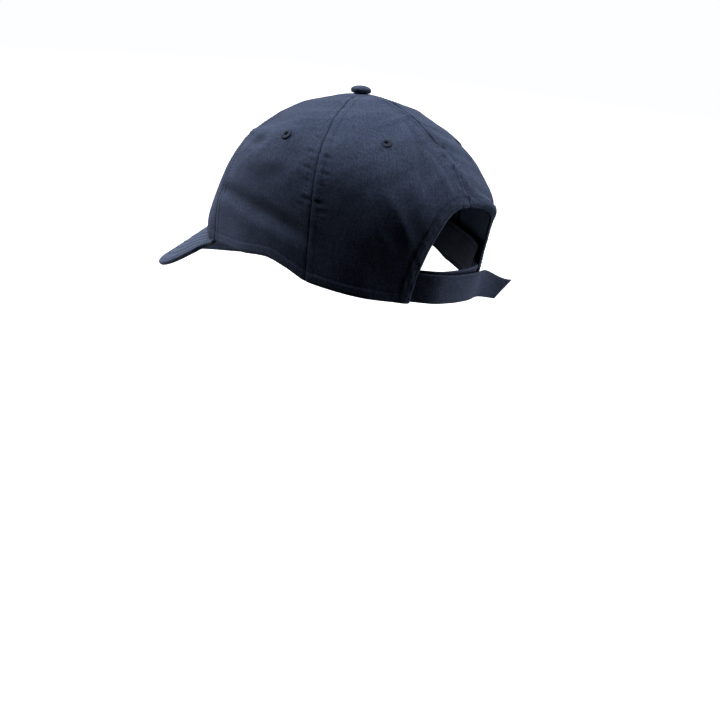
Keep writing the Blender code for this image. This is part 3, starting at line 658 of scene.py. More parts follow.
PANEL_CLOTH = cloth_material("navy_twill", (0.040, 0.055, 0.100))
STRAP_CLOTH = cloth_material("strap_twill", (0.052, 0.068, 0.121), yarn=0.00055)
BUTTON_CLOTH = cloth_material("button_twill", (0.052, 0.068, 0.116), yarn=0.00045, use_uv=False)
BAND_CLOTH = cloth_material("band_cotton", (0.018, 0.021, 0.034), yarn=0.0008, depth=0.0002,
                            sheen=0.3, variation=0.7)
TAPE_CLOTH = cloth_material("seam_tape_cloth", (0.020, 0.025, 0.042), yarn=0.0006)
# The peak's cloth is a lighter copy of the crown's navy: painted light for the light falling on the peak.
PEAK_CLOTH = cloth_material("peak_twill_painted_lighter", (0.063, 0.084, 0.140), variation=0.8)
THREAD = thread_material("navy_sewing_thread", (0.027, 0.037, 0.070))
EYELET_THREAD = thread_material("eyelet_thread", (0.026, 0.037, 0.072))
SHELL_PLASTIC = plastic_material("shell_abs", (0.016, 0.016, 0.018), 0.42)
FOAM = foam_material("pad_foam", (0.050, 0.051, 0.056))
STEEL = metal_material("pressed_steel", (0.55, 0.55, 0.57), 0.32)
CAD_NODE_LOOKS = {
    "peak_board": plastic_material("peak_board_sheet", (0.030, 0.032, 0.040), 0.6),
    "button_core": STEEL,
    "button_washer": STEEL,
    "hook_patch": hook_material("hook_tape", (0.012, 0.013, 0.018), 0.0011),
    "loop_patch": hook_material("loop_tape", (0.014, 0.015, 0.021), 0.0007),
    "care_label": cloth_material("label_satin", (0.50, 0.50, 0.47), yarn=0.0004, sheen=0.1,
                                 tint=(1.0, 1.0, 1.0), use_uv=False, variation=0.4),
}


# ------------------------------------------------------------- crown panels
PANEL_TOP = 0.985
CLOTH = 0.0010
EYELET_HOLE = 0.0019
# Rows crowd towards the rim and columns towards the seams, where the cloth is turned.
ROW_CROWDING = 1.22
COLUMN_CROWDING = 0.72
# What the relief and the painted shade lines add to a panel's tone: raised places faded by wear, hollows
# and lines darkened with painted shade.
RELIEF_TONE, SHADE_TONE = 0.7, 1.6


def even_on(angles, climbs, count, power=1.0):
    """Points of a line of places spaced evenly in real length, or closer at its start."""
    fine = np.linspace(0, 1, len(angles))
    length = lengths_along(crown(angles, climbs))
    at = np.interp(np.linspace(0, 1, count) ** power * length[-1], length, fine)
    return np.interp(at, fine, angles), np.interp(at, fine, climbs)


def meridian(angle, first, count, last=PANEL_TOP, power=1.0):
    climbs = np.linspace(first, last, 200)
    return even_on(np.full(200, float(angle)), climbs, count, power)


def arch_places(grow, count, first_turn=0.0, power=1.0):
    """Places along the left half of the rear opening's edge, or of a line outside it."""
    t = np.linspace(first_turn, math.pi / 2, 160)
    n = OPENING_POWER
    x = OPENING_HALF_WIDTH * np.cos(t).clip(0) ** (2 / n)
    z = OPENING_TOP * np.sin(t).clip(0) ** (2 / n)
    gx = (x / OPENING_HALF_WIDTH) ** (n - 1) / OPENING_HALF_WIDTH
    gz = (z / OPENING_TOP) ** (n - 1) / OPENING_TOP
    size = np.hypot(gx, gz)
    x, z = x + grow * gx / size, z + grow * gz / size
    x[-1] = 0.0
    angles, climbs = rear_place(x, z)
    angles[-1] = REAR
    return even_on(angles, climbs, count, power)


def whole_arch(grow, count, first_turn):
    """Places along both halves of the opening's edge, or of a line outside it."""
    angles, climbs = arch_places(grow, count, first_turn)
    return np.r_[angles, 360 - angles[-2::-1]], np.r_[climbs, climbs[-2::-1]]


def arch_top(grow):
    return float(arch_places(grow, 40)[1][-1])


def panel_sides(part, rows):
    """The two edges of a left-hand panel as lists of places with the same number of rows."""
    first, second = (meridian(seam, 0.0, rows, power=ROW_CROWDING) for seam in PANELS[part])
    if part == "rear":
        arch = arch_places(0.0, rows // 2, power=ROW_CROWDING)
        above = meridian(REAR, float(arch[1][-1]), rows - rows // 2 + 1)
        second = [np.concatenate([a, b[1:]]) for a, b in zip(arch, above)]
    return first, second


def build_panel(part, side, rows=164, columns=100):
    sign = SIDES[side]
    (a0, c0), (a1, c1) = panel_sides(part, rows)
    t = np.linspace(0, 1, columns)
    share = (t - COLUMN_CROWDING * np.sin(FULL_TURN * t) / FULL_TURN)[None, :]
    angles = sign * (a0[:, None] * (1 - share) + a1[:, None] * share)
    climbs = c0[:, None] * (1 - share) + c1[:, None] * share
    points = cloth_point(angles, climbs)
    wear_and_shade = RELIEF_TONE * np.clip(relief(angles, climbs) / MM, -1.0, 1.0)
    # Painted shade along the seams and hems and in the puckers' dents.
    wear_and_shade += SHADE_TONE * seam_shade(angles, climbs)
    verts, faces = points.reshape(-1, 3), grid_faces(rows, columns)
    hole = cloth_point(np.array(sign * EYELETS[part][0]), np.array(EYELETS[part][1]))
    faces = faces[np.linalg.norm(verts[faces].mean(1) - hole, axis=1) > EYELET_HOLE]
    used = np.unique(faces)
    renumber = np.zeros(len(verts), int)
    renumber[used] = np.arange(len(used))
    piece = finish_mesh(f"{part}_{side}_cloth", verts[used], renumber[faces], PANEL_CLOTH,
                        metre_uv(points).reshape(-1, 2)[used], wear_and_shade.ravel()[used])
    outward(piece, crown_normal(angles.flat[used[0]], climbs.flat[used[0]]))
    settle(thicken(piece, CLOTH), "cloth", "cap", f"{part}_{side}_panel")


# ------------------------------------------------------------- stitches
CROWN_STITCH = dict(pitch=0.0026, length=0.0020)
PEAK_STITCH = dict(pitch=0.0029, length=0.0022)
STRAP_STITCH = dict(pitch=0.0027, length=0.0021)
BAND_STITCH = dict(pitch=0.0030, length=0.0023)
SEAM_STITCHES_END = 0.945
RIM_STITCHES_END = 154.0


def stitch_template(rings=6, around=6):
    """One stitch lying along x: a short thread that dives into the cloth at both ends."""
    s = np.linspace(-0.42, 0.42, rings)[:, None]
    radius = 0.5 * np.sqrt(np.maximum(1 - (s / 0.52) ** 4, 0.05))
    turn = FULL_TURN * np.arange(around)[None, :] / around
    tube = np.stack([s + 0 * turn, radius * np.cos(turn), 0.30 - 3.2 * s * s + radius * np.sin(turn)], -1)
    verts = np.concatenate([[(-0.5, 0.0, -0.55)], tube.reshape(-1, 3), [(0.5, 0.0, -0.55)]])
    faces = (grid_faces(rings, around, closed=True) + 1).tolist()
    last = len(verts) - 1
    for k in range(around):
        n = (k + 1) % around
        faces += [(0, 1 + n, 1 + k), (last - around + k, last - around + n, last)]
    return verts, faces


def stitch_row(points, normals, pitch, length, seed, thick=0.00034, wobble=0.00007):
    """Vertices and faces of a row of stitches along a line."""
    length_at = lengths_along(points)
    count = max(int(length_at[-1] / pitch), 1)
    at = (np.arange(count) + 0.5) * length_at[-1] / count
    random = np.random.default_rng(seed)
    centre, normal = at_length(points, length_at, at), unit(at_length(normals, length_at, at))
    step = pitch * 0.4
    heading = unit(at_length(points, length_at, at + step) - at_length(points, length_at, at - step))
    heading = unit(heading - (heading * normal).sum(-1, keepdims=True) * normal)
    side = np.cross(normal, heading)
    turn = random.normal(0, 0.05, count)[:, None]
    heading, side = heading + side * turn, side - heading * turn
    centre = centre + side * random.normal(0, wobble, count)[:, None]
    verts, faces = stitch_template()
    x, y, z = (verts[None, :, k, None] for k in range(3))
    made = (centre[:, None] + heading[:, None] * x * length + side[:, None] * y * thick
            + normal[:, None] * z * thick)
    return made.reshape(-1, 3), [[v + len(verts) * k for v in face] for k in range(count) for face in faces]


def stitch_piece(name, rows):
    verts, faces, count = [], [], 0
    for made, made_faces in rows:
        verts.append(made)
        faces.extend([[v + count for v in face] for face in made_faces])
        count += len(made)
    return finish_mesh(name, np.concatenate(verts), faces, THREAD)


def crown_row(angles, climbs, seed):
    angles, climbs = even_on(angles, climbs, 260)
    return stitch_row(cloth_point(angles, climbs, 0.00002), crown_normal(angles, climbs),
                      seed=seed, **CROWN_STITCH)


def build_crown_stitches():
    for number, seam in enumerate(SEAMS.values()):
        rows = []
        first, count = (arch_top(RIM_ROW), 260) if seam == REAR else (0.012, 300)
        climbs = np.linspace(first, SEAM_STITCHES_END, count)
        for sign in (1, -1):
            angles = seam + sign * degrees_for(SEAM_ROW, seam, climbs)
            rows.append(crown_row(angles, climbs, number * 2 + sign + 3))
        settle(stitch_piece(f"seam_stitches_{number + 1}", rows), "thread", "cap")
    angles = np.linspace(-RIM_STITCHES_END, RIM_STITCHES_END, 500)
    row = crown_row(angles, climb_at(angles, rim_height(angles) + RIM_ROW), 31)
    settle(stitch_piece("rim_stitches", [row]), "thread", "cap")
    rows = [crown_row(*whole_arch(grow, 120, 0.06), seed) for grow, seed in zip(OPENING_ROWS, (41, 42))]
    settle(stitch_piece("opening_stitches", rows), "thread", "cap")


# ------------------------------------------------------------- eyelets and button
EYELET_RADIUS = 0.00245
EYELET_WIDE, EYELET_TALL = 0.00150, 0.00072
EYELET_SUNK = 0.00005
EYELET_THREADS = 40


def build_eyelet(part, side, around=240, section=16):
    """A ring of thread wound over the edge of its hole."""
    sign = SIDES[side]
    angle, climb = sign * EYELETS[part][0], EYELETS[part][1]
    centre = cloth_point(np.array(angle), np.array(climb))
    x, y, normal = tangent_frame(angle, climb)
    turn = np.linspace(0, FULL_TURN, around, endpoint=False)[:, None]
    phi = np.linspace(0, FULL_TURN, section, endpoint=False)[None, :]
    uneven = 0.10 * np.sin(3 * turn + sign) + 0.06 * np.sin(7 * turn + 2)
    thread = 1 + 0.10 * np.abs(np.sin(EYELET_THREADS / 2 * turn)) + 0.05 * uneven
    radius = EYELET_RADIUS + EYELET_WIDE * thread * (1 + 0.12 * uneven) * np.cos(phi)
    lift = EYELET_TALL * thread * np.sin(phi) - EYELET_SUNK
    spin = turn + 0.10 * np.sin(phi)
    points = (centre + x * (radius * np.cos(spin))[..., None] + y * (radius * np.sin(spin))[..., None]
              + normal * lift[..., None])
    faces = grid_faces(around, section, closed=True, rows_closed=True)
    piece = finish_mesh(f"{part}_{side}_eyelet_thread", points, faces, EYELET_THREAD)
    settle(outward(piece, points[0, 0] - centre), "thread", "cap", f"{part}_{side}_eyelet")


def build_button(around=96, rings=30):
    """A metal button with cloth pulled over it and gathered under its edge."""
    low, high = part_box("button_cover")
    radius, tall = (high.x - low.x) / 2, high.z - low.z
    turn = np.linspace(0, FULL_TURN, around, endpoint=False)[None, :]
    t = np.linspace(0.0, 1.0, rings)[:, None]
    phi = np.minimum(t * 1.25, 1.0) * math.radians(128)
    tucked = ease(t, 0.80, 1.0)
    out = np.where(phi < math.pi / 2, np.sin(phi), 1 - 0.24 * (1 - np.sin(phi))) * (1 - 0.35 * tucked)
    gather = ease(t, 0.45, 0.9) * (0.018 * np.sin(11 * turn + 0.6) + 0.012 * np.sin(17 * turn + 2.0))
    gore = 0.012 * np.abs(np.sin(3 * turn)) * ease(t, 0.05, 0.4)
    r = radius * 0.985 * out * (1 + gather + gore)
    z = np.maximum(low.z + tall * (0.40 + 0.60 * np.cos(phi)), low.z + 0.00015)
    z = (z + 0.00006 * np.sin(5 * turn) * t) * (1 - tucked) + (HEIGHT - 0.0004) * tucked
    points = np.stack([r * np.cos(turn), r * np.sin(turn), z], -1)
    piece = finish_mesh("button_cloth", points, grid_faces(rings, around, closed=True), BUTTON_CLOTH)
    settle(thicken(outward(piece, (0, 0, 1)), 0.0005), "cloth", "cap", "button_cover")


# ------------------------------------------------------------- peak
PEAK_HALF_WIDTH = 0.0755
PEAK_SIDE_Y = -0.0640
PEAK_LENGTH = 0.1130
PEAK_POWER = 2.4
PEAK_FRONT_Z = 0.0219
PEAK_SLOPE = 0.645
PEAK_DROOP = 6.4
PEAK_THICKNESS = 0.0036
PEAK_CLOTH_THICKNESS = 0.0006
PEAK_ROOT_ANGLE = 53.0
PEAK_ROOT_DEPTH = 0.0011
PEAK_REACH = 0.985 * math.pi / 2
PEAK_CORNER_DROP = 0.0048
PEAK_CORNER_FROM = 26.0
PEAK_CORNER_FADE = 0.010
PEAK_CORNER_TUCK = 0.55
PEAK_TUCK_FROM = 0.915
PEAK_ROWS = (0.0035, 0.0100, 0.0165, 0.0230, 0.0295, 0.0360, 0.0425)
PEAK_CHANNEL_DEPTH, PEAK_CHANNEL_WIDTH = 0.20, 0.0008
# Unevenness in millimetres: height, size sideways and forwards in metres, seed.
PEAK_UNEVENNESS = ((0.10, 0.012, 0.012, 21), (0.22, 0.034, 0.030, 22))


def peak_height(x, y):
    """Height of the peak's upper face, which comes down to the rim at its two corners."""
    aside, ahead = np.abs(x) / HALF_WIDTH, -y / FRONT_REACH
    corner = ease(np.degrees(np.arctan2(aside, ahead)), PEAK_CORNER_FROM, PEAK_ROOT_ANGLE)
    away = (np.hypot(aside, ahead) - 1.0) * FRONT_REACH
    fall = PEAK_CORNER_DROP * corner * bell(away, PEAK_CORNER_FADE)
    return PEAK_FRONT_Z + PEAK_SLOPE * (y + FRONT_REACH) - PEAK_DROOP * x * x - fall


def peak_face(flat, step=0.0003):
    """Points of the peak's upper face over (x, y) places, and its normals."""
    x, y = flat[..., 0], flat[..., 1]
    across = (peak_height(x + step, y) - peak_height(x - step, y)) / (2 * step)
    along = (peak_height(x, y + step) - peak_height(x, y - step)) / (2 * step)
    normal = unit(np.stack([-across, -along, np.ones(x.shape)], -1))
    return np.concatenate([flat, peak_height(x, y)[..., None]], -1), normal


def peak_lines(t, clearance):
    """For each direction, the peak's root on the crown and its point on the outer edge."""
    x = PEAK_HALF_WIDTH * np.sign(t) * np.abs(np.sin(t)) ** (2 / PEAK_POWER)
    y = PEAK_SIDE_Y - PEAK_LENGTH * np.cos(t) ** (2 / PEAK_POWER)
    angle = PEAK_ROOT_ANGLE * t / PEAK_REACH
    root = crown(angle, 0.0 * angle)
    for _ in range(8):
        climb = climb_at(angle, peak_height(root[..., 0], root[..., 1]))
        root = crown(angle, climb) + crown_normal(angle, climb) * clearance
    tuck = np.clip((np.abs(t) / PEAK_REACH - PEAK_TUCK_FROM) / (1 - PEAK_TUCK_FROM), 0, 1)
    out = 1 - PEAK_CORNER_TUCK * tuck[..., None]
    return root[..., :2], root[..., :2] + (np.stack([x, y], -1) - root[..., :2]) * out


def peak_grid(columns, rows):
    """Places over the peak from its root to its edge, and how far in from the edge they are."""
    even = np.linspace(-1, 1, columns)
    root, edge = peak_lines(PEAK_REACH * (even + 0.35 * np.sin(math.pi * even) / math.pi),
                            -PEAK_ROOT_DEPTH)
    share = np.linspace(0.0, 1.0, rows)[:, None]
    inset = (1 - share) * np.linalg.norm(edge - root, axis=-1)[None]
    return root[None] * (1 - share[..., None]) + edge[None] * share[..., None], inset


def peak_relief(flat, inset):
    """Stitched channels, the rounded swell between them and slight unevenness."""
    d = -PEAK_CHANNEL_DEPTH * sum(bell(inset - row, PEAK_CHANNEL_WIDTH) for row in PEAK_ROWS)
    for height, wide, tall, seed in PEAK_UNEVENNESS:
        d += height * lattice_noise(flat[..., 0] / wide, flat[..., 1] / tall, seed)
    return d * MM


def draw_in(points, share):
    """The same rows of points, with the last one moved part of the way back to the first."""
    rows = len(points)
    at = np.linspace(0, 1, rows)[:, None] * share[None, :] * (rows - 1)
    low = np.clip(at.astype(int), 0, rows - 2)
    part = (at - low)[..., None]
    column = np.arange(points.shape[1])[None, :]
    return points[low, column] * (1 - part) + points[low + 1, column] * part


def round_the_edge(grid):
    """A grid's values down its first column, along its last row and up its last column."""
    return np.array([*grid[:, 0], *grid[-1, 1:-1], *grid[::-1, -1]])


def build_peak_edge(points, normal):
    """Cloth turned round the peak's edge: a half-round band from one corner to the other."""
    radius = PEAK_THICKNESS / 2
    ahead = unit(points[-1] - points[-4])
    ends = unit(points[:, 0] - points[:, 2]), unit(points[:, -1] - points[:, -3])
    place, up = round_the_edge(points), round_the_edge(normal)
    out = np.array([*ends[0], *ahead[1:-1], *ends[1][::-1]])
    for _ in range(3):
        out[1:-1] = unit(out[:-2] + out[1:-1] + out[2:])
    out = unit(out - (out * up).sum(-1, keepdims=True) * up)
    band = np.array([place - up * radius + radius * (up * math.cos(turn) + out * math.sin(turn))
                     for turn in np.radians(np.linspace(0, 180, 15))])
    piece = cloth_sheet("peak_edge_cloth", band, PEAK_CLOTH, up[0], PEAK_CLOTH_THICKNESS)
    settle(piece, "cloth", "cap")


def build_peak():
    flat, inset = peak_grid(260, 90)
    points, normal = peak_face(flat)
    length = np.linalg.norm(points[-1] - points[0], axis=-1)
    keep = np.maximum(length - PEAK_THICKNESS / 2, 0.3 * length) / length
    faces = (("upper", 1, 0.0), ("lower", -1, PEAK_THICKNESS))
    for name, sign, depth in faces:
        sewn = points + normal * (sign * peak_relief(flat, inset)[..., None] - depth)
        piece = cloth_sheet(f"peak_{name}_cloth", draw_in(sewn, keep), PEAK_CLOTH, (0, 0, sign),
                            PEAK_CLOTH_THICKNESS)
        settle(piece, "cloth", "cap", f"peak_{name}_cover")
        if name == "upper":
            build_peak_edge(draw_in(points, keep), draw_in(normal, keep))

    made = []
    root, rim = peak_lines(np.linspace(-0.96, 0.96, 400) * PEAK_REACH, 0.0)
    for number, row in enumerate(PEAK_ROWS):
        share = 1 - row / np.linalg.norm(rim - root, axis=-1)
        line, normal = peak_face((root + (rim - root) * share[:, None])[share > 0.05])
        for _, sign, depth in faces:
            made.append(stitch_row(line - normal * depth + sign * normal * 0.00003, sign * normal,
                                   seed=60 + number, **PEAK_STITCH))
    settle(stitch_piece("peak_stitches", made), "thread", "cap")


# ------------------------------------------------------------- closure straps
STRAP_SEWN_DEPTH = 0.0034
OUTER_SEWN_DEPTH = 0.0027
OUTER_THICKNESS, INNER_THICKNESS = 0.0017, 0.0015
STRAP_ROOT = 150.5
STRAP_LEAVES = 152.5
STRAP_OUT = 168.5
STRAP_HINGE = 160.0
STRAP_BENDS_OUT = 197.0
STRAP_LIFT = 0.0031
TAIL_TURN = math.radians(38.0)
TAIL_RADIUS = 0.042
TAIL_STRAIGHT = 0.012
TAIL_SLANT = 0.0105
TAIL_DROOPS = (0.0046, 0.0098)
TAIL_DROOPS_OVER = 0.036
OUTER_ROOT_HEIGHTS = (0.0018, 0.0232)
OUTER_END_HEIGHTS = (-0.0016, 0.0192)
INNER_REACH = (209.5, 151.5)
INNER_HEIGHTS = (0.0030, 0.0234)
INNER_DEPTH = 0.0008
INNER_END_DEPTH = 0.0062
INNER_TUCKS_OVER = (196.5, 203.0)
INNER_SLIPS_IN_OVER = (-170.0, -156.0)
LEAN_HEIGHTS = (0.002, 0.020)
LEAN_CLIMB = 0.03
OUTER_ROW_INSET, INNER_ROW_INSET, TIP_ROW_INSET = 0.0023, 0.0022, 0.0030
STRAP_ROW_LIFT = 0.00082


def rim_station(angle, out):
    """The foot of a strap at the rim and its lean for each metre of height."""
    low, high = (crown(angle, climb_at(angle, h)) for h in LEAN_HEIGHTS)
    lean = (high - low) / (LEAN_HEIGHTS[1] - LEAN_HEIGHTS[0])
    normal = unit(crown_normal(angle, LEAN_CLIMB + 0 * np.asarray(angle)) * np.array([1, 1, 0]))
    return low - lean * LEAN_HEIGHTS[0] + normal * np.asarray(out)[..., None], lean


def outer_line():
    """Feet and leans along the outer strap from its sewn root to its tip."""
    angle = np.linspace(STRAP_ROOT, STRAP_BENDS_OUT, 160)
    out = (OUTER_SEWN_DEPTH + STRAP_LIFT) * ease(angle, STRAP_LEAVES, STRAP_OUT) - OUTER_SEWN_DEPTH
    feet, lean = rim_station(angle, out)
    heading = unit(feet[-1, :2] - feet[-2, :2])
    left = np.array([-heading[1], heading[0]])
    t = np.linspace(0, TAIL_TURN, 40)[1:, None]
    bend = TAIL_RADIUS * (heading * np.sin(t) - left * (1 - np.cos(t)))
    ahead = heading * math.cos(TAIL_TURN) - left * math.sin(TAIL_TURN)
    straight = bend[-1] + ahead * TAIL_STRAIGHT * np.arange(1, 13)[:, None] / 12
    tail = np.concatenate([bend, straight])
    tail = np.concatenate([feet[-1, :2] + tail, np.full((len(tail), 1), feet[-1, 2])], -1)
    return np.concatenate([feet, tail]), np.concatenate([lean, np.repeat(lean[-1:], len(tail), 0)])


def outer_edge(which, where, total):
    """Height of the outer strap's lower (0) or upper (1) edge, which droops at the tail."""
    root, end = OUTER_ROOT_HEIGHTS[which], OUTER_END_HEIGHTS[which]
    share = np.clip(where / (total - TAIL_DROOPS_OVER), 0, 1)
    return root + (end - root) * share - TAIL_DROOPS[which] * ease(where, total - TAIL_DROOPS_OVER, total)


def inner_edge(which, where, total):
    return INNER_HEIGHTS[which] + 0 * where


def strap_frame(line, where):
    """At distances along a strap: its foot, its lean and its outward side."""
    feet, leans = line
    lengths = lengths_along(feet)
    heading = at_length(feet, lengths, where + 0.001) - at_length(feet, lengths, where - 0.001)
    side = unit(np.stack([heading[:, 1], -heading[:, 0], 0 * heading[:, 0]], -1))
    return at_length(feet, lengths, where), at_length(leans, lengths, where), side


def strap_piece(name, line, edge, slant, thickness, seed):
    """A flat cloth strap on edge: a closed tube with rolled edges and a slanting end."""
    total = lengths_along(line[0])[-1]
    columns, rows = 200, 26
    # Round the section: up the outer face, over the top edge, down the inner face.
    up = np.linspace(0, 1, rows)
    points, uv, wear_and_shade = [], [], []
    for v, face in [*((v, 1.0) for v in up), *((v, -1.0) for v in up[::-1])]:
        tip = total - slant * (1 - v)
        where = np.linspace(0, 1, columns) * tip
        foot, lean, side = strap_frame(line, where)
        low, high = edge(0, where, total), edge(1, where, total)
        height = low + (high - low) * v
        near = np.minimum(v, 1 - v) * (high - low)
        if slant:
            near = np.minimum(near, np.maximum(tip - where, 0.0) * 0.8)
        swell = 1.0 - 0.85 * np.exp(-near / 0.0006)
        groove = 0.16 * bell(near - 0.0023, 0.0005)
        fat = 1.15 - 0.15 * ease(near / MM, 2.2, 4.5)
        wave = 0.35 * MM * lattice_noise(where / 0.016 + seed, v * 2.2 + 0 * where, 51 + seed)
        wave = wave + 0.10 * MM * lattice_noise(where / 0.004, v * 7 + 0 * where, 52 + seed)
        offset = face * thickness / 2 * (swell * fat - groove) + wave
        points.append(foot + lean * height[:, None] + side * offset[:, None])
        uv.append(np.stack([where, height + 0.03 * (face < 0)], -1))
        # Painted shade: the tone falls at the rolled edges and in the stitch grooves; the waves add uneven
        # tone.
        wear_and_shade.append((swell - groove * 3 - 0.9) * 0.8 + wave / MM)
    points = np.array(points)
    count = len(points)
    ends = []
    for j, flip in ((0, False), (columns - 1, True)):
        for k in range(rows - 1):
            face = [row * columns + j for row in (k, k + 1, count - 2 - k, count - 1 - k)]
            ends.append(face if flip else face[::-1])
    faces = [*grid_faces(count, columns, rows_closed=True).tolist(), *ends]
    piece = finish_mesh(name, points, faces, STRAP_CLOTH, np.array(uv), np.array(wear_and_shade))
    piece.data.set_sharp_from_angle(angle=math.radians(75))
    outward(piece, points[0, 0] - points[-1, 0])
    return piece, total


def strap_row(line, where, height, face, seed):
    foot, lean, side = strap_frame(line, where)
    place = foot + lean * height[:, None] + side * face * STRAP_ROW_LIFT
    return stitch_row(place, side * face, seed=seed, **STRAP_STITCH)


def build_outer_strap():
    line = outer_line()
    strap, total = strap_piece("outer_strap_cloth", line, outer_edge, TAIL_SLANT, OUTER_THICKNESS, 1)
    across = np.linspace(0.10, 0.90, 60)
    tip = total - TAIL_SLANT * (1 - across) - TIP_ROW_INSET
    low, high = outer_edge(0, tip, total), outer_edge(1, tip, total)
    rows = []
    for face in (1, -1):
        for which, slack, inset, seed in ((0, TAIL_SLANT, OUTER_ROW_INSET, 71),
                                          (1, 0.0, -OUTER_ROW_INSET, 72)):
            where = np.linspace(0.004, total - slack - 0.0035, 200)
            rows.append(strap_row(line, where, outer_edge(which, where, total) + inset, face, seed))
        rows.append(strap_row(line, tip, low + (high - low) * across, face, 73))
    stitches = stitch_piece("outer_strap_stitches", rows)
    start, end = (rim_station(np.array([STRAP_HINGE + turn]), np.array([out]))[0][0]
                  for turn, out in ((-3.0, -0.002), (4.0, 0.0)))
    for piece in (strap, stitches):
        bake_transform(piece)
    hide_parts("outer_strap", "outer_strap_root")


def build_inner_strap():
    """The strap that runs the other way, from its sewn root to its end inside the cap."""
    angle = np.linspace(*INNER_REACH, 160)
    line = rim_station(angle, -INNER_DEPTH - STRAP_SEWN_DEPTH * ease(angle, *INNER_TUCKS_OVER)
                       - INNER_END_DEPTH * ease(-angle, *INNER_SLIPS_IN_OVER))
    strap, total = strap_piece("inner_strap_cloth", line, inner_edge, 0.0, INNER_THICKNESS, 4)
    where = np.linspace(0.002, total - 0.002, 200)
    heights = INNER_HEIGHTS[0] + INNER_ROW_INSET, INNER_HEIGHTS[1] - INNER_ROW_INSET
    rows = [strap_row(line, where, height + 0 * where, face, 75) for height in heights for face in (1, -1)]
    settle(stitch_piece("inner_strap_stitches", rows), "thread", "cap")
    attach(strap, "cap")
    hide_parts("inner_strap")


# ------------------------------------------------------------- tapes inside the crown
TAPE_DEPTH = 0.0017
TAPE_HALF_WIDTH = 0.0060
TAPE_WIDEST = 26.0
TAPE_TOP = 0.93
TAPE_THICKNESS = 0.0006
TAPE_ARCH, TAPE_UNEVEN = 0.0005, 0.0001
BINDING_WIDTH = 0.0070


def build_seam_tapes(rows=120, columns=13):
    """One tape behind each seam, slightly arched over the seam allowance."""
    across = np.linspace(-1, 1, columns)[None, :]
    for name, seam in SEAMS.items():
        first = arch_top(BINDING_WIDTH + 0.002) if seam == REAR else 0.0
        climbs = meridian(seam, first, rows, TAPE_TOP)[1][:, None]
        half = np.minimum(degrees_for(TAPE_HALF_WIDTH, seam, climbs), TAPE_WIDEST)
        angles, climbs = seam + half * across, climbs + 0 * across
        arch = TAPE_ARCH * (1 - across**2) + TAPE_UNEVEN * lattice_noise(climbs * 60, angles, 61)
        piece = cloth_sheet(f"{name}_tape_cloth", cloth_point(angles, climbs, -TAPE_DEPTH - arch),
                            TAPE_CLOTH, -crown_normal(seam, climbs[0, 0]), TAPE_THICKNESS)
        settle(piece, "tape", "cap", f"{name}_seam_tape")


def build_opening_binding():
    """The tape inside the edge of the rear opening, following its flare."""
    lines_across = [whole_arch(width, 110, 0.04) for width in np.linspace(0.0003, BINDING_WIDTH, 9)]
    angles, climbs = (np.array(values) for values in zip(*lines_across))
    points = cloth_point(angles, climbs, -TAPE_DEPTH)
    piece = cloth_sheet("rear_opening_tape_cloth", points, TAPE_CLOTH,
                        -crown_normal(angles[0, 0], climbs[0, 0]), TAPE_THICKNESS)
    settle(piece, "tape", "cap", "rear_opening_binding")


# ------------------------------------------------------------- sweatband
BAND_END = 148.0
BAND_FOOT = 0.0006
BAND_WIDTH = 0.0304
BAND_DEPTH = 0.0046
BAND_THICKNESS = 0.0013
BAND_ROWS = (0.10, 0.90)


def build_sweatband(rows=34, columns=420):
    """A cotton band over thin foam, shown as a swelled sheet with a row of stitches near its lower edge,
    where the real band is turned, and one along the top.
    """
    v = np.linspace(0, 1, rows)[:, None]
    angle = np.linspace(-BAND_END, BAND_END, columns)[None, :] + 0 * v
    climb = climb_at(angle, rim_height(angle) + BAND_FOOT + BAND_WIDTH * v)
    swell = 0.9 * np.sin(math.pi * v) ** 0.7
    gather = 0.16 * lattice_noise(angle / 3.2 + 3 * v, v * 1.5 + 0 * angle, 81) * (0.3 + v)
    slow = 0.35 * lattice_noise(angle / 11, v * 2 + 0 * angle, 82)
    sunk = 0.5 * sum(bell(v - at, 0.035) for at in BAND_ROWS)
    normal = crown_normal(angle, climb)
    depth = BAND_DEPTH + (swell + gather + slow - sunk) * MM
    piece = cloth_sheet("sweatband_cotton", crown(angle, climb) - normal * depth[..., None], BAND_CLOTH,
                        -normal[0, 0], BAND_THICKNESS, swell + gather - sunk)
    settle(piece, "tape", "cap", "sweatband")
    made = []
    for at, seed in zip(BAND_ROWS, (91, 92)):
        angle = np.linspace(1 - BAND_END, BAND_END - 1, 700)
        climb = climb_at(angle, rim_height(angle) + BAND_FOOT + BAND_WIDTH * at)
        inward = -crown_normal(angle, climb)
        made.append(stitch_row(crown(angle, climb) + inward * BAND_DEPTH, inward, seed=seed, **BAND_STITCH))
    settle(stitch_piece("sweatband_stitches", made), "thread", "cap")


# ------------------------------------------------------------- hard shell and pads
SHELL_DEPTH = 0.0075
SHELL_REAR_EXTRA = 0.0090
SHELL_THICKNESS = 0.0022
SHELL_EDGE = ((0, 0.048), (90, 0.056), (180, 0.080))
SHELL_ROWS = 8
SHELL_LAST_CLIMB = 0.95
SHELL_BEVEL = 0.0004
RIB_ANGLES = (0.0, 45.0, -45.0, 180.0, 110.0, -110.0)
RIB_HEIGHT, RIB_WIDTH = 0.0007, 2.6
LIP_HEIGHT, LIP_WIDTH = 0.0008, 0.035
SLOT_ANGLES = (30.0, 62.0, 94.0, 126.0, 158.0)
SLOT_HEIGHT = 0.098
SLOT_HALF_LENGTH, SLOT_RADIUS, SLOT_CUT = 0.0075, 0.0035, 0.03
# Each pad lies between two angles and two of the shell's rows.
PADS = {"front_pad": (-30, 30, 1, 3), "left_pad": (60, 110, 1, 3),
        "right_pad": (-110, -60, 1, 3), "rear_pad": (150, 210, 1, 3)}
CROWN_PAD_ROW = 6
PAD_THICKNESS = 0.0050
PAD_START = SHELL_THICKNESS + 0.0004


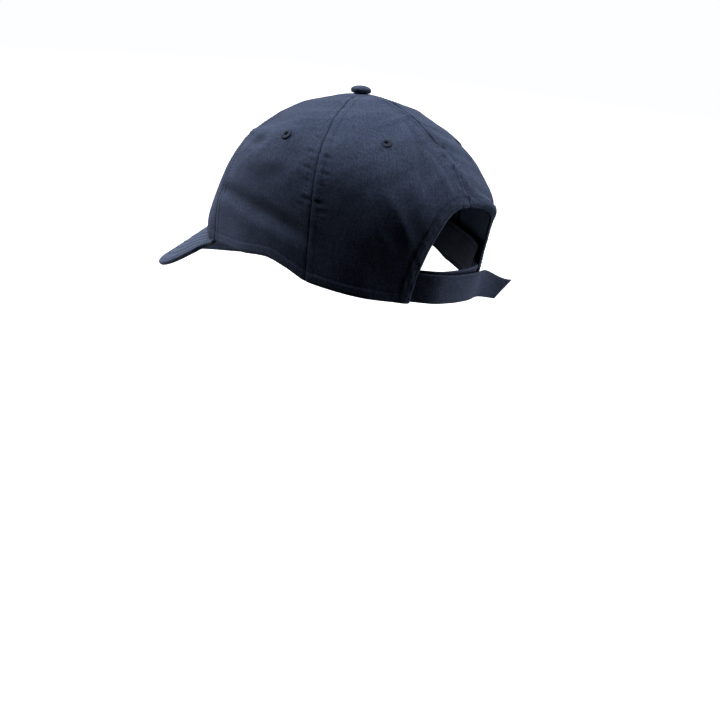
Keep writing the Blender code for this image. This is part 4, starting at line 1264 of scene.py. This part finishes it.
def insert_place(angle, climb, depth):
    """Points below the crown by the shell's distance from it and a further depth."""
    angle, climb = np.broadcast_arrays(np.asarray(angle, float), np.asarray(climb, float))
    c = np.cos(np.radians(angle))
    extra = np.where(c < 0, SHELL_REAR_EXTRA * c * c * (1 - ease(climb, 0.6, 0.95)), 0.0)
    return crown(angle, climb) - crown_normal(angle, climb) * (SHELL_DEPTH + extra + depth)[..., None]


def shell_climb(angle, row):
    low = climb_at(angle, along_stations(SHELL_EDGE, angle))
    return low + (SHELL_LAST_CLIMB - low) * row / SHELL_ROWS


def slot_cutters():
    """All the vent slots as one mesh of round-ended blocks."""
    outline = [(middle + SLOT_RADIUS * math.cos(t), SLOT_RADIUS * math.sin(t))
               for middle, start in ((SLOT_HALF_LENGTH, -90), (-SLOT_HALF_LENGTH, 90))
               for t in np.radians(np.linspace(start, start + 180, 12))]
    maker = bmesh.new()
    for angle in (sign * slot for slot in SLOT_ANGLES for sign in SIDES.values()):
        climb = float(climb_at(angle, SLOT_HEIGHT))
        x, y, normal = tangent_frame(angle, climb)
        ends = [[maker.verts.new(crown(angle, climb) + x * u + y * v - normal * depth)
                 for u, v in outline] for depth in (0.0, SLOT_CUT)]
        maker.faces.new(ends[0])
        maker.faces.new(ends[1])
        for k in range(len(outline)):
            maker.faces.new((ends[0][k - 1], ends[0][k], ends[1][k], ends[1][k - 1]))
    bmesh.ops.recalc_face_normals(maker, faces=maker.faces)
    mesh = bpy.data.meshes.new("slots")
    maker.to_mesh(mesh)
    maker.free()
    cutter = bpy.data.objects.new("slots", mesh)
    bpy.context.scene.collection.objects.link(cutter)
    return cutter


def build_shell(rows=70, columns=240):
    """The moulded shell, with a rolled lower edge, ribs and vent slots."""
    v = np.linspace(0, 1, rows)[:, None]
    angle = np.linspace(-180, 180, columns, endpoint=False)[None, :] + 0 * v
    first = climb_at(angle, along_stations(SHELL_EDGE, angle))
    climb = first + (TOP_CLIMB - first) * v
    rib = sum(bell(wrap(angle - at), RIB_WIDTH) for at in RIB_ANGLES)
    raised = RIB_HEIGHT * rib * ease(v, 0.10, 0.18) * (1 - ease(v, 0.80, 0.9))
    raised += LIP_HEIGHT * bell(v, LIP_WIDTH)
    tip = HEIGHT - SHELL_DEPTH
    piece = solid_between("bump_shell_moulding", insert_place(angle, climb, -raised),
                          insert_place(angle, climb, SHELL_THICKNESS + 0 * v), SHELL_PLASTIC, True,
                          ((0, 0, tip), (0, 0, tip - SHELL_THICKNESS)))
    cutter = slot_cutters()
    step = piece.modifiers.new("slots", "BOOLEAN")
    step.operation, step.solver, step.object = "DIFFERENCE", "EXACT", cutter
    shaped = piece.evaluated_get(bpy.context.evaluated_depsgraph_get())
    mesh = bpy.data.meshes.new_from_object(shaped)
    piece.modifiers.clear()
    piece.data = mesh
    bpy.data.objects.remove(cutter)
    mesh.set_sharp_from_angle(angle=math.radians(40))
    edge = piece.modifiers.new("edges", "BEVEL")
    edge.width, edge.segments = SHELL_BEVEL, 2
    edge.limit_method, edge.angle_limit = "ANGLE", math.radians(50)
    settle(piece, "shell_plastic", "insert", "bump_shell")


def settle_pad(piece, node):
    settle(piece, "foam", "insert", node)


def build_pads(rows=34, columns=90):
    u = np.linspace(-1, 1, columns)[None, :]
    v = np.linspace(-1, 1, rows)[:, None]
    reach = np.maximum(np.abs(u) + 0 * v, np.abs(v) + 0 * u)
    full = (1 - np.clip(reach, 0, 1) ** 5) ** 0.42
    groove = 0.35 * bell(np.abs(u) - 0.34, 0.03) * (1 - reach**8)
    depth = PAD_THICKNESS * full * (1.06 - groove) + 0.00015 * lattice_noise(u * 6, v * 3 + 0 * u, 95)
    for name, (a0, a1, r0, r1) in PADS.items():
        # The square grid is squeezed into a rounded outline.
        angle = (a0 + a1) / 2 + (a1 - a0) / 2 * u * (1 - 0.10 * v**6)
        climb = shell_climb(angle, (r0 + r1) / 2 + (r1 - r0) / 2 * v * (1 - 0.12 * u**6))
        back = insert_place(angle, climb, PAD_START + 0 * depth)
        front = insert_place(angle, climb, PAD_START + depth + 0.0002)
        settle_pad(solid_between(f"{name}_foam", back, front, FOAM), name)


def build_crown_pad(rows=40, columns=160):
    """A domed pad with petal-shaped cuts in its edge."""
    v = np.linspace(0, 1, rows)[:, None]
    angle = np.linspace(-180, 180, columns, endpoint=False)[None, :] + 0 * v
    cuts = 0.5 - 0.5 * np.cos(np.radians(angle) * 6)
    first = shell_climb(angle, CROWN_PAD_ROW) + 0.035 * cuts**3
    climb = first + (TOP_CLIMB - first) * v
    depth = PAD_THICKNESS * (1 - (1 - np.clip(v / 0.16, 0, 1)) ** 3) ** 0.6
    dimple = 0.0009 * bell(v - 0.55, 0.1) * cuts**2
    tip = HEIGHT - SHELL_DEPTH - PAD_START
    piece = solid_between("crown_pad_foam", insert_place(angle, climb, PAD_START + 0 * depth),
                          insert_place(angle, climb, PAD_START + depth - dimple + 0.0001), FOAM, True,
                          ((0, 0, tip), (0, 0, tip - PAD_THICKNESS)))
    settle_pad(piece, "crown_pad")


# ------------------------------------------------------------- what stays from the CAD model
def dress_nodes():
    for name, look in CAD_NODE_LOOKS.items():
        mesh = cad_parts[name].data
        mesh.materials.clear()
        mesh.materials.append(look)
        mesh.shade_smooth()


# ------------------------------------------------------------- studio
CAMERA_AZIMUTH = math.radians(130.315)
CAMERA_ELEVATION = math.radians(16.913)
CAMERA_ROLL = math.radians(5.573)
CAMERA_DISTANCE = 0.84454
CAMERA_ASIDE = 0.011485
CAMERA_UP = -0.067115
CAMERA_LENS = 56.45
LEVEL = Vector((math.cos(CAMERA_AZIMUTH), math.sin(CAMERA_AZIMUTH), 0))
TO_CAMERA = Vector((math.sin(CAMERA_AZIMUTH) * math.cos(CAMERA_ELEVATION),
                    -math.cos(CAMERA_AZIMUTH) * math.cos(CAMERA_ELEVATION), math.sin(CAMERA_ELEVATION)))
FLOOR_Z = -0.34
FLOOR_REACH = 8
STUDIO_WHITE = (0.985, 0.99, 1.0, 1.0)
# Where each light stands, what it looks at, its size and its power.
LIGHTS = {
    "overhead": ((0.10, -0.10, 1.25), (0, 0, 0.05), 0.9, 15.5),
    "floor_bounce": ((0.20, -0.42, -0.32), (0.03, -0.13, 0.0), 0.6, 0.6),
    "high_front": ((0.30, -0.95, 0.75), (0, -0.10, 0.05), 0.7, 8.0),
    "table_right": (LEVEL * 0.75 + Vector((0, 0, -0.16)), (0, 0.08, 0.02), 0.5, 2.8),
}


def build_camera():
    up = TO_CAMERA.cross(LEVEL)
    right = math.cos(CAMERA_ROLL) * LEVEL + math.sin(CAMERA_ROLL) * up
    top = -math.sin(CAMERA_ROLL) * LEVEL + math.cos(CAMERA_ROLL) * up
    data = bpy.data.cameras.new("camera")
    data.lens, data.sensor_width = CAMERA_LENS, 36.0
    data.clip_start, data.clip_end = 0.02, 60.0
    camera = bpy.data.objects.new("camera", data)
    bpy.context.scene.collection.objects.link(camera)
    place = Matrix((right, top, TO_CAMERA)).transposed().to_4x4()
    place.translation = right * CAMERA_ASIDE + top * CAMERA_UP + TO_CAMERA * CAMERA_DISTANCE
    camera.matrix_world = place
    bpy.context.scene.camera = camera


def build_world():
    """Light from all round and above but not from the camera's side; the sky is seen as white."""
    world = bpy.data.worlds.new("studio")
    bpy.context.scene.world = world
    n = Nodes(world, "Background")
    away = n.add("VectorMath", {0: n.place("Generated"), 1: (-TO_CAMERA.x, -TO_CAMERA.y, 0.45)},
                 operation="DOT_PRODUCT").outputs["Value"]
    fall = n.add("MapRange", {"Value": away, "From Min": -0.18, "From Max": 0.78},
                 interpolation_type="SMOOTHSTEP").outputs[0]
    seen = n.add("LightPath").outputs["Is Camera Ray"]
    n.set(Color=STUDIO_WHITE, Strength=n.math("MAXIMUM", seen, fall))


def build_floor():
    n = new_material("pale_floor")
    place = n.place()
    far = n.add("VectorMath", {0: place}, operation="LENGTH").outputs["Value"]
    mottle = n.span(n.noise(place, 3.0, 3.0), 0.3, 0.7)
    n.set(Base_Color=n.mix(mottle, rgba((0.80, 0.815, 0.835)), rgba((0.82, 0.83, 0.85))), Roughness=0.7,
          Emission_Color=STUDIO_WHITE, Emission_Strength=n.span(far, 0.15, 0.9, 0.12, 1.0))
    corners = [(FLOOR_REACH * x, FLOOR_REACH * y, FLOOR_Z) for x, y in ((-1, -1), (1, -1), (1, 1), (-1, 1))]
    floor = finish_mesh("floor", corners, [(0, 1, 2, 3)], n.owner, smooth=False)
    floor.visible_diffuse = floor.visible_glossy = False


def build_lights():
    for name, (place, target, size, power) in LIGHTS.items():
        data = bpy.data.lights.new(name, "AREA")
        data.shape, data.size, data.energy = "DISK", size, power
        light = bpy.data.objects.new(name, data)
        light.location = place
        light.rotation_euler = (Vector(target) - Vector(place)).to_track_quat("-Z", "Y").to_euler()
        bpy.context.scene.collection.objects.link(light)
    bpy.context.scene.view_settings.view_transform = "Standard"


def main():
    for part in EYELETS:
        for side in SIDES:
            build_panel(part, side)
            build_eyelet(part, side)
    for build in (build_crown_stitches, build_button, build_peak, build_outer_strap, build_inner_strap,
                  build_seam_tapes, build_opening_binding, build_sweatband, build_shell, build_pads,
                  build_crown_pad, dress_nodes, build_camera, build_world, build_floor, build_lights):
        build()


main()
